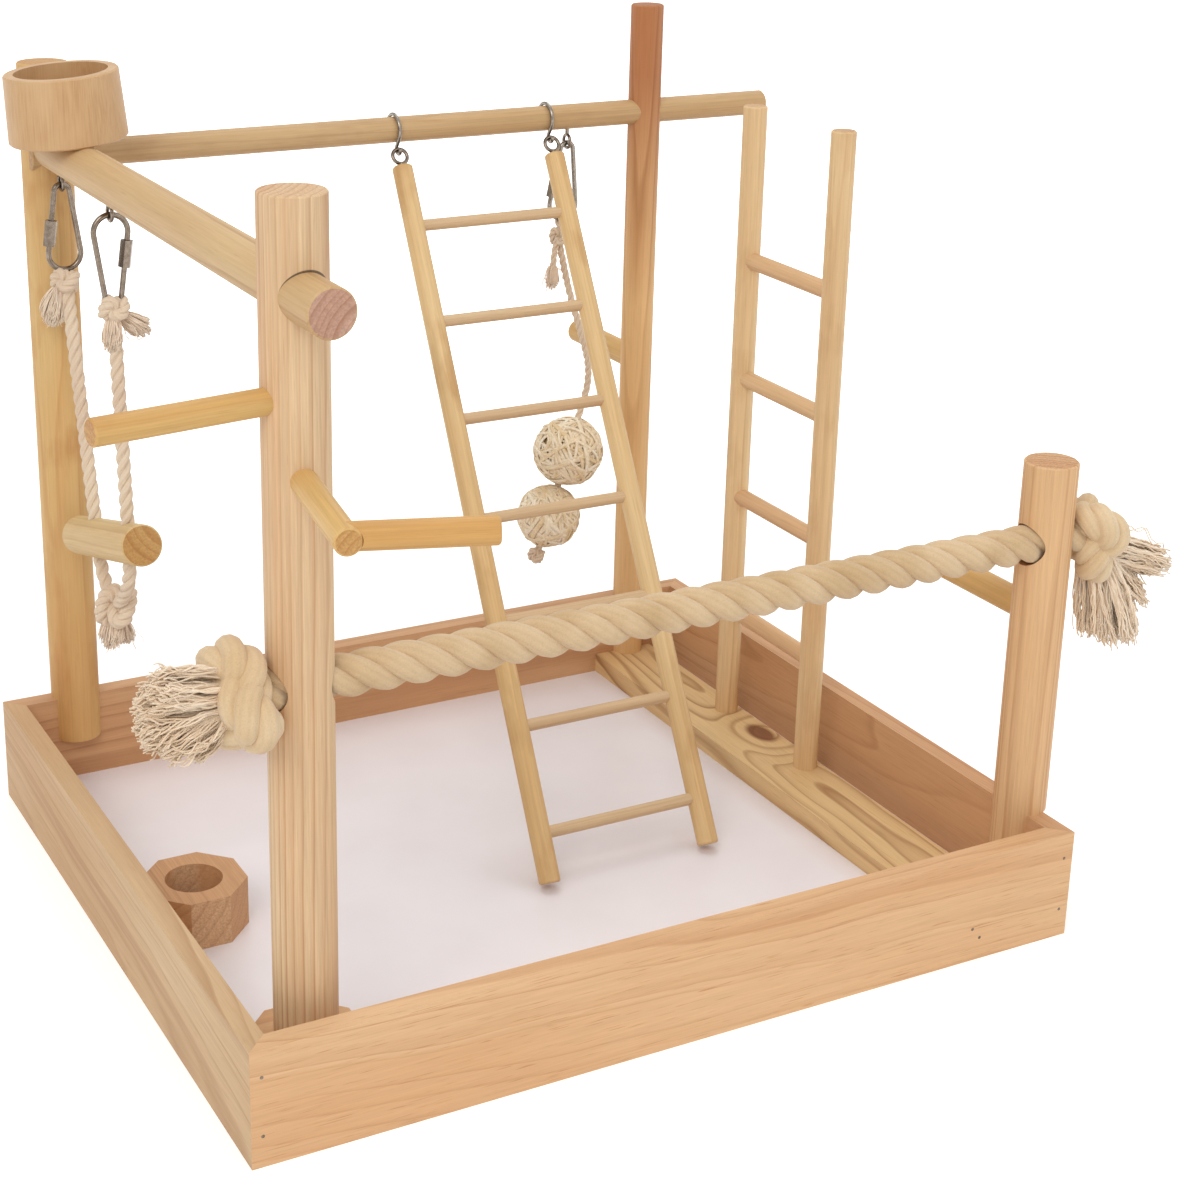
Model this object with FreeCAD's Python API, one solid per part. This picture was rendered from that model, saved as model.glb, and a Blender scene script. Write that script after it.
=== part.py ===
import FreeCAD, Part
import math
import os

# A wooden tabletop play stand for a parrot: a shallow tray with four dowel posts, perches,
# a hung ladder, a rope perch, a swing and a chew toy.  All lengths are in millimetres.
# The design frame has its zero at the tray's front left outer corner, on the table: X runs
# right along the front panel, Y to the back, Z up.  Each finished piece is moved by ORIGIN,
# so that the zero point lies under the middle of the stand's wooden outline.

Vec = FreeCAD.Vector
X = Vec(1, 0, 0)
Y = Vec(0, 1, 0)
Z = Vec(0, 0, 1)

ORIGIN = Vec(225.7, 199.5, 0)

# Tray
TRAY_LENGTH = 460.0
TRAY_WIDTH = 400.0
TRAY_HEIGHT = 60.0
PANEL = 11.0
FLOOR_BOTTOM = 5.0
FLOOR_TOP = 9.0
GROOVE_DEPTH = 4.5
FLOOR_PLAY = 0.5
PLANK_X = (393.0, 434.0)
PLANK_TOP = 21.0

# Posts: centre, top and diameter
FRONT_LEFT = Vec(42, 38, 0)
BACK_LEFT = Vec(42, 395, 0)
BACK_RIGHT = Vec(416.5, 389, 0)
FRONT_RIGHT = Vec(454.5, 38, 0)
FRONT_LEFT_TOP = 428.0
BACK_LEFT_TOP = 431.0
BACK_RIGHT_TOP = 446.0
FRONT_RIGHT_TOP = 254.5
FRONT_LEFT_DIAMETER = 30.0
OUTER_POST_DIAMETER = 28.0
BACK_RIGHT_DIAMETER = 20.0
TONGUE_BOTTOM = 34.0
EASED_EDGE = 0.8

# Socket blocks
BLOCK_FLATS = 51.5
BLOCK_TOP = 36.0
SPARE_BLOCK = Vec(44, 196, FLOOR_TOP)
SPARE_BORE = 30.0

# Perches
TOP_PERCH_DIAMETER = 15.0
TOP_PERCH_Z = 381.0
TOP_PERCH_X = (30.0, 502.0)
SIDE_PERCH_DIAMETER = 22.0
SIDE_PERCH_Z = 386.0
SIDE_PERCH_FRONT = -3.0
SHORT_PERCH_DIAMETER = 12.0
LEFT_PERCH_END = Vec(-49.8, 25.2, 341)
LEFT_PERCH_START = Vec(42, 38, 341)
FRONT_PERCH_START = Vec(42, 38, 308)
FRONT_PERCH_END = Vec(28, -49.2, 308)
ELBOW_PERCH_END = Vec(87.1, -61.5, 308)
ELBOW_SETBACK = 7.0
ELBOW_TENON = 6.0
FAR_PERCH_Z = 222.0
FAR_PERCH_END = 466.0
RIGHT_PERCH_Z = 171.0
RIGHT_PERCH_END = 121.0

# Feed cup of bamboo
CUP_CENTRE = Vec(42, 348, 0)
CUP_HEIGHT = 36.0
CUP_TOP_DIAMETER = 60.0
CUP_BOTTOM_DIAMETER = 62.5
CUP_WALL = 5.5
CUP_FLOOR = 6.0
CUP_LEAN = -4.5

# Hung ladder: foot and head are points of each rail's axis
LADDER_LEFT_X = 228.0
LADDER_SPACING = 100.5
LADDER_FOOT = Vec(0, 144.5, FLOOR_TOP)
LADDER_RACK = 19.3
RAIL_DIAMETER = 12.0
RAIL_START = 4.3
RAIL_END = 422.0
RUNG_DIAMETER = 6.8
RUNG_COUNT = 7
FIRST_RUNG = 31.0
RUNG_PITCH = 59.0
EYE_RADIUS = 4.5
EYE_WIRE = 2.2
EYE_TOP = 433.1
HOOK_WIRE = 2.2
HOOK_GAP = 0.35
HOOK_LOWER_RADIUS = 2.8
HOOK_UPPER_SWEEP = 225.0
HOOK_LOWER_SWEEP = 225.0

# Upright ladder on the plank
UPRIGHT_FRONT = Vec(424, 191, PLANK_TOP)
UPRIGHT_BACK = Vec(425, 279, PLANK_TOP)
UPRIGHT_TOP = 400.5
UPRIGHT_DIAMETER = 14.0
UPRIGHT_RUNG_DIAMETER = 10.0
UPRIGHT_RUNG_Z = (310.0, 238.0, 164.0, 89.5)

# Rope perch
ROPE_DIAMETER = 20.0
ROPE_HOLE = 22.0
ROPE_Y = 38.0
ROPE_Z = 211.0
LEFT_KNOT = Vec(12, 38, 209)
RIGHT_KNOT = Vec(485, 38, 209)
KNOT_GAP = 0.1

# Screw eyes under the perches, and quick links
PERCH_EYE_RADIUS = 4.0
PERCH_EYE_WIRE = 2.0
SWING_EYE_DROP = 0.3
TOY_EYE_DROP = 2.5
SWING_EYE_Y = (285.0, 370.0)
TOY_EYE_X = 362.5
LINK_LENGTH = 50.0
LINK_WIRE = 3.0
LINK_WIDE = 21.0
LINK_NARROW = 11.5
LINK_REST_GAP = 0.6
LINK_OPENING = 6.0
SLEEVE_LENGTH = 14.0
SLEEVE_FLATS = 6.0
SLEEVE_CLEARANCE = 0.3
SLEEVE_FROM_WIDE_END = 3.5
TOY_TILT = 3.5

# Swing
SWING_X = 42.0
SWING_BAR_DIAMETER = 22.0
SWING_BAR_REAR = Vec(SWING_X, 366, 169)
SWING_BAR_FRONT = Vec(SWING_X, 254, 200.8)
SWING_ROPE_DIAMETER = 7.5
SWING_KNOT_REAR = Vec(SWING_X, 370, 315.5)
SWING_KNOT_FRONT = Vec(SWING_X, 286, 320)
JOINT_KNOT = Vec(SWING_X, 303, 149)
REAR_ROPE_ROUTE = [(370, 315.5), (334.5, 180), (330, 163), (320, 153.5), (308, 150.3)]
FRONT_ROPE_ROUTE = [(286, 320), (277, 196), (276.5, 179), (284, 163), (299, 151.9)]

# Chew toy
TOY_Y = 389.0
TOY_CORD_DIAMETER = 4.5
TOY_LOOP_RADIUS = 4.5
UPPER_BALL = Vec(368.4, TOY_Y, 166.5)
LOWER_BALL = Vec(355.2, TOY_Y, 124.5)
UPPER_BALL_RADIUS = 22.8
LOWER_BALL_RADIUS = 20.8
BALL_BORE_CLEARANCE = 0.3
BALL_BAND_DEPTH = 1.6
BALL_BAND_WIDTH = 7.0
TOY_ROUTE = [(358.6, 304), (365, 275), (375, 246)]
TOY_CORD_STRAIGHT = 52.0

# Fasteners
SCREW_DIAMETER = 3.5
SCREW_HEAD = 7.0
BRAD_DIAMETER = 1.8
BRAD_LENGTH = 24.0


# ---- plain shapes ----

def box(x, y, z):
    """Block between pairs of coordinates."""
    return Part.makeBox(x[1] - x[0], y[1] - y[0], z[1] - z[0], Vec(x[0], y[0], z[0]))


def rod(start, end, diameter):
    return Part.makeCylinder(diameter / 2, (end - start).Length, start, end - start)


def dowel(start, end, diameter, eased=EASED_EDGE):
    """Round bar with both end edges eased by a small chamfer."""
    bar = rod(start, end, diameter)
    rims = [edge for edge in bar.Edges if isinstance(edge.Curve, Part.Circle)]
    return bar.makeChamfer(eased, rims)


def aimed(shape, base, axis):
    """Stand a shape that is drawn up Z from the zero point on base, along axis."""
    placement = FreeCAD.Placement(base, FreeCAD.Rotation(Z, axis))
    return shape.transformed(placement.toMatrix(), True)


def spun(face):
    """Solid turned about Z from a face in the XZ plane that borders the axis."""
    solid = face.revolve(Vec(0, 0, 0), Z, 360)
    if solid.Volume < 0:
        solid.reverse()
    return solid


def turned(profile):
    """Solid turned about Z from (radius, height) points that start and end on the axis."""
    points = [Vec(radius, 0, height) for radius, height in profile]
    return spun(Part.Face(Part.makePolygon(points + points[:1])))


def ring(centre, normal, radius, wire):
    return Part.makeTorus(radius, wire / 2, centre, normal)


def fused(shapes):
    return shapes[0].fuse(shapes[1:]).removeSplitter()


def swept(edges, start, direction, diameter):
    """Round wire or cord along tangent edges."""
    circle = Part.makeCircle(diameter / 2, start, direction)
    return Part.Wire(edges).makePipeShell([Part.Wire([circle])], True, False)


def cord(name, points, diameter):
    """Cord along straight runs joined by tangent arcs; prints the arcs' radii."""
    edges = []
    radii = []
    here = points[0]
    for before, corner, after in zip(points, points[1:], points[2:]):
        run_in = corner - before
        run_out = after - corner
        setback = 0.45 * min(run_in.Length, run_out.Length)
        direction_in = run_in.normalize()
        direction_out = run_out.normalize()
        half_turn = direction_in.getAngle(direction_out) / 2
        radius = setback / math.tan(half_turn)
        arc_start = corner - direction_in * setback
        arc_end = corner + direction_out * setback
        inward = (direction_out - direction_in).normalize()
        arc_middle = corner + inward * (radius / math.cos(half_turn) - radius)
        edges.append(Part.makeLine(here, arc_start))
        edges.append(Part.Arc(arc_start, arc_middle, arc_end).toShape())
        radii.append(round(radius, 1))
        here = arc_end
    edges.append(Part.makeLine(here, points[-1]))
    solid = swept(edges, points[0], points[1] - points[0], diameter)
    length = sum(edge.Length for edge in edges)
    section = math.pi * diameter ** 2 / 4
    ratio = solid.Volume / (section * length)
    print(name, "length", round(length, 1), "radii", radii, "volume ratio", round(ratio, 4))
    return solid


# ---- fasteners ----

def wood_screw(head, direction, length):
    """Countersunk wood screw, from the middle of its head along direction."""
    shank = SCREW_DIAMETER / 2
    rim = SCREW_HEAD / 2
    cone = rim - shank
    profile = [(0, 0), (rim, 0), (rim, 0.4), (shank, cone + 0.4),
               (shank, length - 4), (0, length)]
    return aimed(turned(profile), head, direction)


def brad(head, direction):
    return Part.makeCylinder(BRAD_DIAMETER / 2, BRAD_LENGTH, head, direction)


def screw_eye(centre, normal, up, radius, wire, shank_length):
    """Closed wire ring with a screw shank that leaves its top along up."""
    shank = wire * 0.6
    profile = [(0, 0), (shank, 0), (shank, shank_length - 3), (0, shank_length)]
    stem = aimed(turned(profile), centre + up * radius, up)
    return fused([ring(centre, normal, radius, wire), stem])


def post_screws():
    """Screws through the tray's panels into the posts' tongues."""
    back = TRAY_WIDTH
    right = TRAY_LENGTH
    screws = [wood_screw(Vec(BACK_LEFT.x, back, z), -Y, 16) for z in (41, 53)]
    screws += [wood_screw(Vec(BACK_RIGHT.x, back, z), -Y, 17) for z in (32, 50)]
    screws += [wood_screw(Vec(right, FRONT_RIGHT.y, z), -X, 16) for z in (41, 53)]
    return screws


def base_screws():
    """Screws up through the floor into the blocks, the front left post and the ladder posts."""
    offset = 14.5
    places = []
    for block in (FRONT_LEFT, SPARE_BLOCK):
        places.append((block.x - offset, block.y - offset, 24))
        places.append((block.x + offset, block.y + offset, 24))
    places.append((FRONT_LEFT.x, FRONT_LEFT.y, 34))
    for post in (UPRIGHT_FRONT, UPRIGHT_BACK):
        places.append((post.x, post.y, 36))
    return [wood_screw(Vec(x, y, FLOOR_BOTTOM), Z, length) for x, y, length in places]


def perch_screws():
    """Screws through the back posts into the perches, and through the cup's floor."""
    side = wood_screw(Vec(BACK_LEFT.x, BACK_LEFT.y + 13.7, SIDE_PERCH_Z + 6.5), -Y, 50)
    top = wood_screw(Vec(BACK_RIGHT.x, BACK_RIGHT.y + 9.4, TOP_PERCH_Z), -Y, 14)
    seat = Vec(CUP_CENTRE.x, CUP_CENTRE.y, SIDE_PERCH_Z + SIDE_PERCH_DIAMETER / 2)
    cup = wood_screw(seat + Z * CUP_FLOOR, -Z, 20)
    return [side, top, leaned(cup)]


def tray_brads():
    """Brads through the mitred corners, and through two panels into the plank."""
    brads = []
    for x in (PANEL / 2, TRAY_LENGTH - PANEL / 2):
        for z in (16, 46):
            brads.append(brad(Vec(x, 0, z), Y))
            brads.append(brad(Vec(x, TRAY_WIDTH, z), -Y))
    for x, z in ((PLANK_X[0] + 4, 18.5), (PLANK_X[0] + 9, 12.5)):
        brads.append(brad(Vec(x, 0, z), Y))
        brads.append(brad(Vec(x, TRAY_WIDTH, z), -Y))
    return brads


# ---- tray ----

def mitred_panel(outer_start, outer_end, inward):
    """Panel whose two ends are cut at 45 degrees, from its outer bottom edge."""
    along = (outer_end - outer_start).normalize() * PANEL
    depth = inward * PANEL
    corners = [outer_start, outer_end, outer_end - along + depth, outer_start + along + depth]
    face = Part.Face(Part.makePolygon(corners + corners[:1]))
    return face.extrude(Z * TRAY_HEIGHT)


def tray_panels():
    length = TRAY_LENGTH
    width = TRAY_WIDTH
    groove_x = (PANEL - GROOVE_DEPTH, length - PANEL + GROOVE_DEPTH)
    groove_y = (PANEL - GROOVE_DEPTH, width - PANEL + GROOVE_DEPTH)
    groove = box(groove_x, groove_y, (FLOOR_BOTTOM, FLOOR_TOP))
    panels = {
        "front_panel": mitred_panel(Vec(0, 0, 0), Vec(length, 0, 0), Y),
        "back_panel": mitred_panel(Vec(0, width, 0), Vec(length, width, 0), -Y),
        "left_panel": mitred_panel(Vec(0, 0, 0), Vec(0, width, 0), X),
        "right_panel": mitred_panel(Vec(length, 0, 0), Vec(length, width, 0), -X),
    }
    fixings = post_screws() + tray_brads()
    for name, panel in panels.items():
        panels[name] = panel.cut(groove).cut(fixings)
    return panels


def floor_board():
    edge = PANEL - GROOVE_DEPTH + FLOOR_PLAY
    sheet = box((edge, TRAY_LENGTH - edge), (edge, TRAY_WIDTH - edge),
                (FLOOR_BOTTOM, FLOOR_TOP))
    return sheet.cut(base_screws())


def plank():
    board = box(PLANK_X, (PANEL, TRAY_WIDTH - PANEL), (FLOOR_TOP, PLANK_TOP))
    return board.cut(base_screws() + tray_brads())


# ---- posts ----

def round_post(foot, top, diameter):
    """Post from its foot up, with only its top edge eased."""
    height = top - foot.z
    radius = diameter / 2
    profile = [(0, 0), (radius, 0), (radius, height - EASED_EDGE),
               (radius - EASED_EDGE, height), (0, height)]
    return aimed(turned(profile), foot, Z)


def over_panel(post, centre, outside):
    """Cut away the part of a post's foot that would stand in or behind its tray panel."""
    reach = 40.0
    if outside == "back":
        lost = box((centre.x - reach, centre.x + reach),
                   (TRAY_WIDTH - PANEL, TRAY_WIDTH + reach), (0, TRAY_HEIGHT))
    else:
        lost = box((TRAY_LENGTH - PANEL, TRAY_LENGTH + reach),
                   (centre.y - reach, centre.y + reach), (0, TRAY_HEIGHT))
    return post.cut(lost)


def at_height(centre, z):
    return Vec(centre.x, centre.y, z)


def post_front_left():
    post = round_post(at_height(FRONT_LEFT, FLOOR_TOP), FRONT_LEFT_TOP, FRONT_LEFT_DIAMETER)
    holes = [side_perch_bar(), left_perch(), front_perch_bar(), rope_hole(FRONT_LEFT)]
    return post.cut(holes + base_screws())


def post_back_left():
    post = round_post(at_height(BACK_LEFT, TONGUE_BOTTOM), BACK_LEFT_TOP, OUTER_POST_DIAMETER)
    post = over_panel(post, BACK_LEFT, "back")
    return post.cut([top_perch_bar()] + post_screws() + perch_screws())


def post_back_right():
    foot = at_height(BACK_RIGHT, PLANK_TOP)
    post = round_post(foot, BACK_RIGHT_TOP, BACK_RIGHT_DIAMETER)
    post = over_panel(post, BACK_RIGHT, "back")
    return post.cut([top_perch_bar(), far_perch()] + post_screws() + perch_screws())


def post_front_right():
    foot = at_height(FRONT_RIGHT, TONGUE_BOTTOM)
    post = round_post(foot, FRONT_RIGHT_TOP, OUTER_POST_DIAMETER)
    post = over_panel(post, FRONT_RIGHT, "right")
    return post.cut([right_perch(), rope_hole(FRONT_RIGHT)] + post_screws())


def rope_hole(post):
    reach = 30.0
    start = Vec(post.x - reach, ROPE_Y, ROPE_Z)
    return rod(start, start + X * 2 * reach, ROPE_HOLE)


def socket_block(centre, bore):
    """Octagonal block with a round socket right through it."""
    corner_radius = BLOCK_FLATS / 2 / math.cos(math.pi / 8)
    corners = []
    for step in range(8):
        angle = math.radians(22.5 + 45 * step)
        corner = Vec(math.cos(angle), math.sin(angle), 0) * corner_radius
        corners.append(at_height(centre, FLOOR_TOP) + corner)
    block = Part.Face(Part.makePolygon(corners + corners[:1])).extrude(Z * (BLOCK_TOP - FLOOR_TOP))
    socket = Part.makeCylinder(bore / 2, BLOCK_TOP, at_height(centre, 0))
    return block.cut([socket] + base_screws())


# ---- perches ----

def top_perch_bar():
    start = Vec(TOP_PERCH_X[0], TOY_Y, TOP_PERCH_Z)
    end = Vec(TOP_PERCH_X[1], TOY_Y, TOP_PERCH_Z)
    return dowel(start, end, TOP_PERCH_DIAMETER)


def top_perch():
    return top_perch_bar().cut([perch_screws()[1], perch_eye(TOY_EYE)])


def side_perch_bar():
    start = Vec(SWING_X, SIDE_PERCH_FRONT, SIDE_PERCH_Z)
    end = Vec(SWING_X, BACK_LEFT.y, SIDE_PERCH_Z)
    return dowel(start, end, SIDE_PERCH_DIAMETER)


def side_perch():
    """Perch whose rear end is coped to the back left post and notched by the top perch."""
    foot = at_height(BACK_LEFT, 0)
    post = Part.makeCylinder(OUTER_POST_DIAMETER / 2, BACK_LEFT_TOP, foot)
    screws = perch_screws()
    return side_perch_bar().cut([post, top_perch_bar(), screws[0], screws[2]] + swing_eyes())


def left_perch():
    return dowel(LEFT_PERCH_START, LEFT_PERCH_END, SHORT_PERCH_DIAMETER)


def front_perch_bar():
    return dowel(FRONT_PERCH_START, FRONT_PERCH_END, SHORT_PERCH_DIAMETER)


def front_perch():
    return front_perch_bar().cut(elbow_perch())


def elbow_perch():
    """Dowel set square to the front perch near its end, with a thinner tenon in it."""
    along = (FRONT_PERCH_START - FRONT_PERCH_END).normalize()
    root = FRONT_PERCH_END + along * ELBOW_SETBACK
    outward = (ELBOW_PERCH_END - root).normalize()
    bar = dowel(root, ELBOW_PERCH_END, SHORT_PERCH_DIAMETER)
    saddle = rod(FRONT_PERCH_START, FRONT_PERCH_END - along * 5, SHORT_PERCH_DIAMETER)
    tenon = rod(root - outward * 2, root + outward * 12, ELBOW_TENON)
    return fused([bar.cut(saddle), tenon])


def far_perch():
    start = at_height(BACK_RIGHT, FAR_PERCH_Z)
    end = Vec(BACK_RIGHT.x, FAR_PERCH_END, FAR_PERCH_Z)
    return dowel(start, end, TOP_PERCH_DIAMETER)


def right_perch():
    start = at_height(FRONT_RIGHT, RIGHT_PERCH_Z)
    end = Vec(FRONT_RIGHT.x, RIGHT_PERCH_END, RIGHT_PERCH_Z)
    return dowel(start, end, TOP_PERCH_DIAMETER)


def leaned(shape):
    """Tilt a piece of the cup about the side perch's axis."""
    tilted = shape.copy()
    tilted.rotate(Vec(SWING_X, 0, SIDE_PERCH_Z), Y, CUP_LEAN)
    return tilted


def feed_cup():
    top = CUP_TOP_DIAMETER / 2
    bottom = CUP_BOTTOM_DIAMETER / 2
    profile = [(0, 0), (bottom - EASED_EDGE, 0), (bottom, EASED_EDGE),
               (top, CUP_HEIGHT - EASED_EDGE), (top - EASED_EDGE, CUP_HEIGHT),
               (top - CUP_WALL, CUP_HEIGHT), (bottom - CUP_WALL, CUP_FLOOR), (0, CUP_FLOOR)]
    seat = Vec(CUP_CENTRE.x, CUP_CENTRE.y, SIDE_PERCH_Z + SIDE_PERCH_DIAMETER / 2)
    return leaned(aimed(turned(profile), seat, Z)).cut(perch_screws()[2])


# ---- hung ladder ----

PERCH_AXIS = Vec(0, TOY_Y, TOP_PERCH_Z)
LADDER_RISE = PERCH_AXIS - LADDER_FOOT + X * LADDER_RACK
LADDER_UP = Vec(LADDER_RISE).normalize()
LADDER_SIDE_UP = Vec(0, LADDER_UP.y, LADDER_UP.z).normalize()


def rail_point(side, distance):
    """Point on the left (0) or right (1) rail's axis, measured from its foot."""
    foot = LADDER_FOOT + X * (LADDER_LEFT_X + side * LADDER_SPACING)
    return foot + LADDER_UP * distance


def rung_bar(number):
    distance = FIRST_RUNG + RUNG_PITCH * number
    return rod(rail_point(0, distance), rail_point(1, distance), RUNG_DIAMETER)


def ladder_eye(side):
    centre = rail_point(side, EYE_TOP - EYE_RADIUS)
    shank = screw_eye(centre, LADDER_UP.cross(X), -LADDER_UP, EYE_RADIUS, EYE_WIRE, 16)
    return shank


def ladder_rail(side):
    rail = dowel(rail_point(side, RAIL_START), rail_point(side, RAIL_END), RAIL_DIAMETER)
    rungs = [rung_bar(number) for number in range(RUNG_COUNT)]
    return rail.cut(rungs + [ladder_eye(side)])


def ladder_hook(side):
    """Open hook: a large turn over the perch runs straight into a small turn in the eye."""
    perch = at_height(rail_point(side, EYE_TOP), TOP_PERCH_Z)
    perch.y = TOY_Y
    down = -LADDER_SIDE_UP
    front = X.cross(down)
    if front.y > 0:
        front = -front
    eye_distance = (rail_point(side, EYE_TOP) - perch).Length
    eye = perch + down * eye_distance
    large = TOP_PERCH_DIAMETER / 2 + HOOK_GAP + HOOK_WIRE / 2
    small = HOOK_LOWER_RADIUS
    lean = math.degrees(math.acos((large + small) / eye_distance))

    def turn(centre, radius, degrees):
        angle = math.radians(degrees)
        return centre + down * (radius * math.cos(angle)) + front * (radius * math.sin(angle))

    def bend(centre, radius, first, sweep):
        points = [turn(centre, radius, first + part * sweep) for part in (0, 0.5, 1)]
        return Part.Arc(*points).toShape()

    upper = bend(perch, large, lean, HOOK_UPPER_SWEEP)
    lower = bend(eye, small, lean + 180 + HOOK_LOWER_SWEEP, -HOOK_LOWER_SWEEP)
    straight = Part.makeLine(turn(eye, small, lean + 180), turn(perch, large, lean))
    start = turn(eye, small, lean + 180 + HOOK_LOWER_SWEEP)
    heading = (start - eye).cross(X)
    return swept([lower, straight, upper], start, heading, HOOK_WIRE)


# ---- upright ladder ----

def upright_rung(z):
    return rod(at_height(UPRIGHT_FRONT, z), at_height(UPRIGHT_BACK, z), UPRIGHT_RUNG_DIAMETER)


def upright_post(foot):
    post = round_post(foot, UPRIGHT_TOP, UPRIGHT_DIAMETER)
    return post.cut([upright_rung(z) for z in UPRIGHT_RUNG_Z] + base_screws())


# ---- quick links ----

class QuickLink:
    """Pear shaped wire link hung from an eye, open in one leg, where a sleeve closes it."""

    def __init__(self, eye_bottom, wide_up, sleeve_side, tilt=0.0):
        self.pivot = eye_bottom
        self.tilt = tilt
        wide = (LINK_WIDE - LINK_WIRE) / 2
        narrow = (LINK_NARROW - LINK_WIRE) / 2
        self.upper = wide if wide_up else narrow
        self.lower = narrow if wide_up else wide
        self.top = PERCH_EYE_WIRE / 2 + LINK_REST_GAP + LINK_WIRE / 2
        self.bottom = self.top - (LINK_LENGTH - LINK_WIRE)
        upper_z = self.top - self.upper
        lower_z = self.bottom + self.lower
        slope = (self.lower - self.upper) / (upper_z - lower_z)
        across = math.sqrt(1 - slope ** 2)
        side = sleeve_side
        self.leg_top = Vec(side * self.upper * across, 0, upper_z + self.upper * slope)
        self.leg_bottom = Vec(side * self.lower * across, 0, lower_z + self.lower * slope)
        wide_tangent = self.leg_top if wide_up else self.leg_bottom
        narrow_tangent = self.leg_bottom if wide_up else self.leg_top
        self.inward = (narrow_tangent - wide_tangent).normalize()
        self.sleeve_start = wide_tangent + self.inward * SLEEVE_FROM_WIDE_END
        middle = self.sleeve_start + self.inward * SLEEVE_LENGTH / 2
        down = (self.leg_bottom - self.leg_top).normalize()
        self.gap_top = middle - down * LINK_OPENING / 2
        self.gap_bottom = middle + down * LINK_OPENING / 2

    def hung(self, shape):
        shape.rotate(Vec(0, 0, 0), Y, self.tilt)
        shape.translate(self.pivot)
        return shape

    def wire(self):
        far_bottom = Vec(-self.leg_bottom.x, 0, self.leg_bottom.z)
        far_top = Vec(-self.leg_top.x, 0, self.leg_top.z)
        edges = [
            Part.makeLine(self.gap_bottom, self.leg_bottom),
            Part.Arc(self.leg_bottom, Vec(0, 0, self.bottom), far_bottom).toShape(),
            Part.makeLine(far_bottom, far_top),
            Part.Arc(far_top, Vec(0, 0, self.top), self.leg_top).toShape(),
            Part.makeLine(self.leg_top, self.gap_top),
        ]
        heading = self.leg_bottom - self.gap_bottom
        return self.hung(swept(edges, self.gap_bottom, heading, LINK_WIRE))

    def sleeve(self):
        """Hexagonal sleeve over the link's opening."""
        corner_radius = SLEEVE_FLATS / math.sqrt(3)
        corners = []
        for step in range(6):
            angle = math.radians(60 * step)
            corners.append(Vec(math.cos(angle), math.sin(angle), 0) * corner_radius)
        nut = Part.Face(Part.makePolygon(corners + corners[:1])).extrude(Z * SLEEVE_LENGTH)
        bore = LINK_WIRE / 2 + SLEEVE_CLEARANCE
        nut = nut.cut(Part.makeCylinder(bore, SLEEVE_LENGTH))
        return self.hung(aimed(nut, self.sleeve_start, self.inward))

    def lowest(self):
        """Middle of the wire at the link's lowest point."""
        point = Vec(0, 0, self.bottom)
        turn = FreeCAD.Rotation(Y, self.tilt)
        return self.pivot + turn.multVec(point)


SWING_EYE_Z = (SIDE_PERCH_Z - SIDE_PERCH_DIAMETER / 2 - SWING_EYE_DROP
               - PERCH_EYE_WIRE / 2 - PERCH_EYE_RADIUS)
TOY_EYE_Z = (TOP_PERCH_Z - TOP_PERCH_DIAMETER / 2 - TOY_EYE_DROP
             - PERCH_EYE_WIRE / 2 - PERCH_EYE_RADIUS)
SWING_EYE_FRONT = Vec(SWING_X, SWING_EYE_Y[0], SWING_EYE_Z)
SWING_EYE_REAR = Vec(SWING_X, SWING_EYE_Y[1], SWING_EYE_Z)
TOY_EYE = Vec(TOY_EYE_X, TOY_Y, TOY_EYE_Z)


def perch_eye(centre):
    """Screw eye under a perch, its ring across the X axis."""
    return screw_eye(centre, X, Z, PERCH_EYE_RADIUS, PERCH_EYE_WIRE, 15)


def swing_eyes():
    return [perch_eye(SWING_EYE_FRONT), perch_eye(SWING_EYE_REAR)]


def lowest_wire(eye_centre):
    """Middle of an eye's wire at its lowest point, where a link hangs."""
    return eye_centre - Z * PERCH_EYE_RADIUS


FRONT_LINK = QuickLink(lowest_wire(SWING_EYE_FRONT), True, 1)
REAR_LINK = QuickLink(lowest_wire(SWING_EYE_REAR), False, -1)
TOY_LINK = QuickLink(lowest_wire(TOY_EYE), False, -1, TOY_TILT)


# ---- knots and frayed ends ----

def knot(centre, axis, across, length):
    """Round knot: two turns of the rope side by side, drawn tight into one body."""
    outline = [(0, -0.5), (0.52, -0.5), (0.84, -0.42), (1.0, -0.29), (1.0, -0.17), (0.86, 0),
               (0.95, 0.15), (0.95, 0.27), (0.8, 0.41), (0.46, 0.5), (0, 0.5)]
    profile = [(out * across / 2, height * length) for out, height in outline]
    return aimed(turned(profile), centre, axis)


def lock(start, end, start_diameter, end_diameter):
    """Frayed lock of cotton: it widens toward a blunt end."""
    length = (end - start).Length
    wide = end_diameter / 2
    profile = [(0, 0), (start_diameter / 2, 0), (wide, length * 0.92), (wide * 0.75, length),
               (0, length)]
    return aimed(turned(profile), start, end - start)


def tassel(start, ends, start_diameter, end_diameter):
    """Locks that spread from nearly one place."""
    locks = []
    for number, end in enumerate(ends):
        root = start + (end - start) * (0.04 * number)
        locks.append(lock(root, end, start_diameter, end_diameter - 0.7 * number))
    return locks


def rope_perch():
    start = Vec(LEFT_KNOT.x, ROPE_Y, ROPE_Z)
    end = Vec(RIGHT_KNOT.x, ROPE_Y, ROPE_Z)
    return rod(start, end, ROPE_DIAMETER)


def round_clear(post, diameter):
    """Room that a post takes out of the knot beside it."""
    return Part.makeCylinder(diameter / 2 + KNOT_GAP, FRONT_LEFT_TOP, at_height(post, 0))


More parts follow.
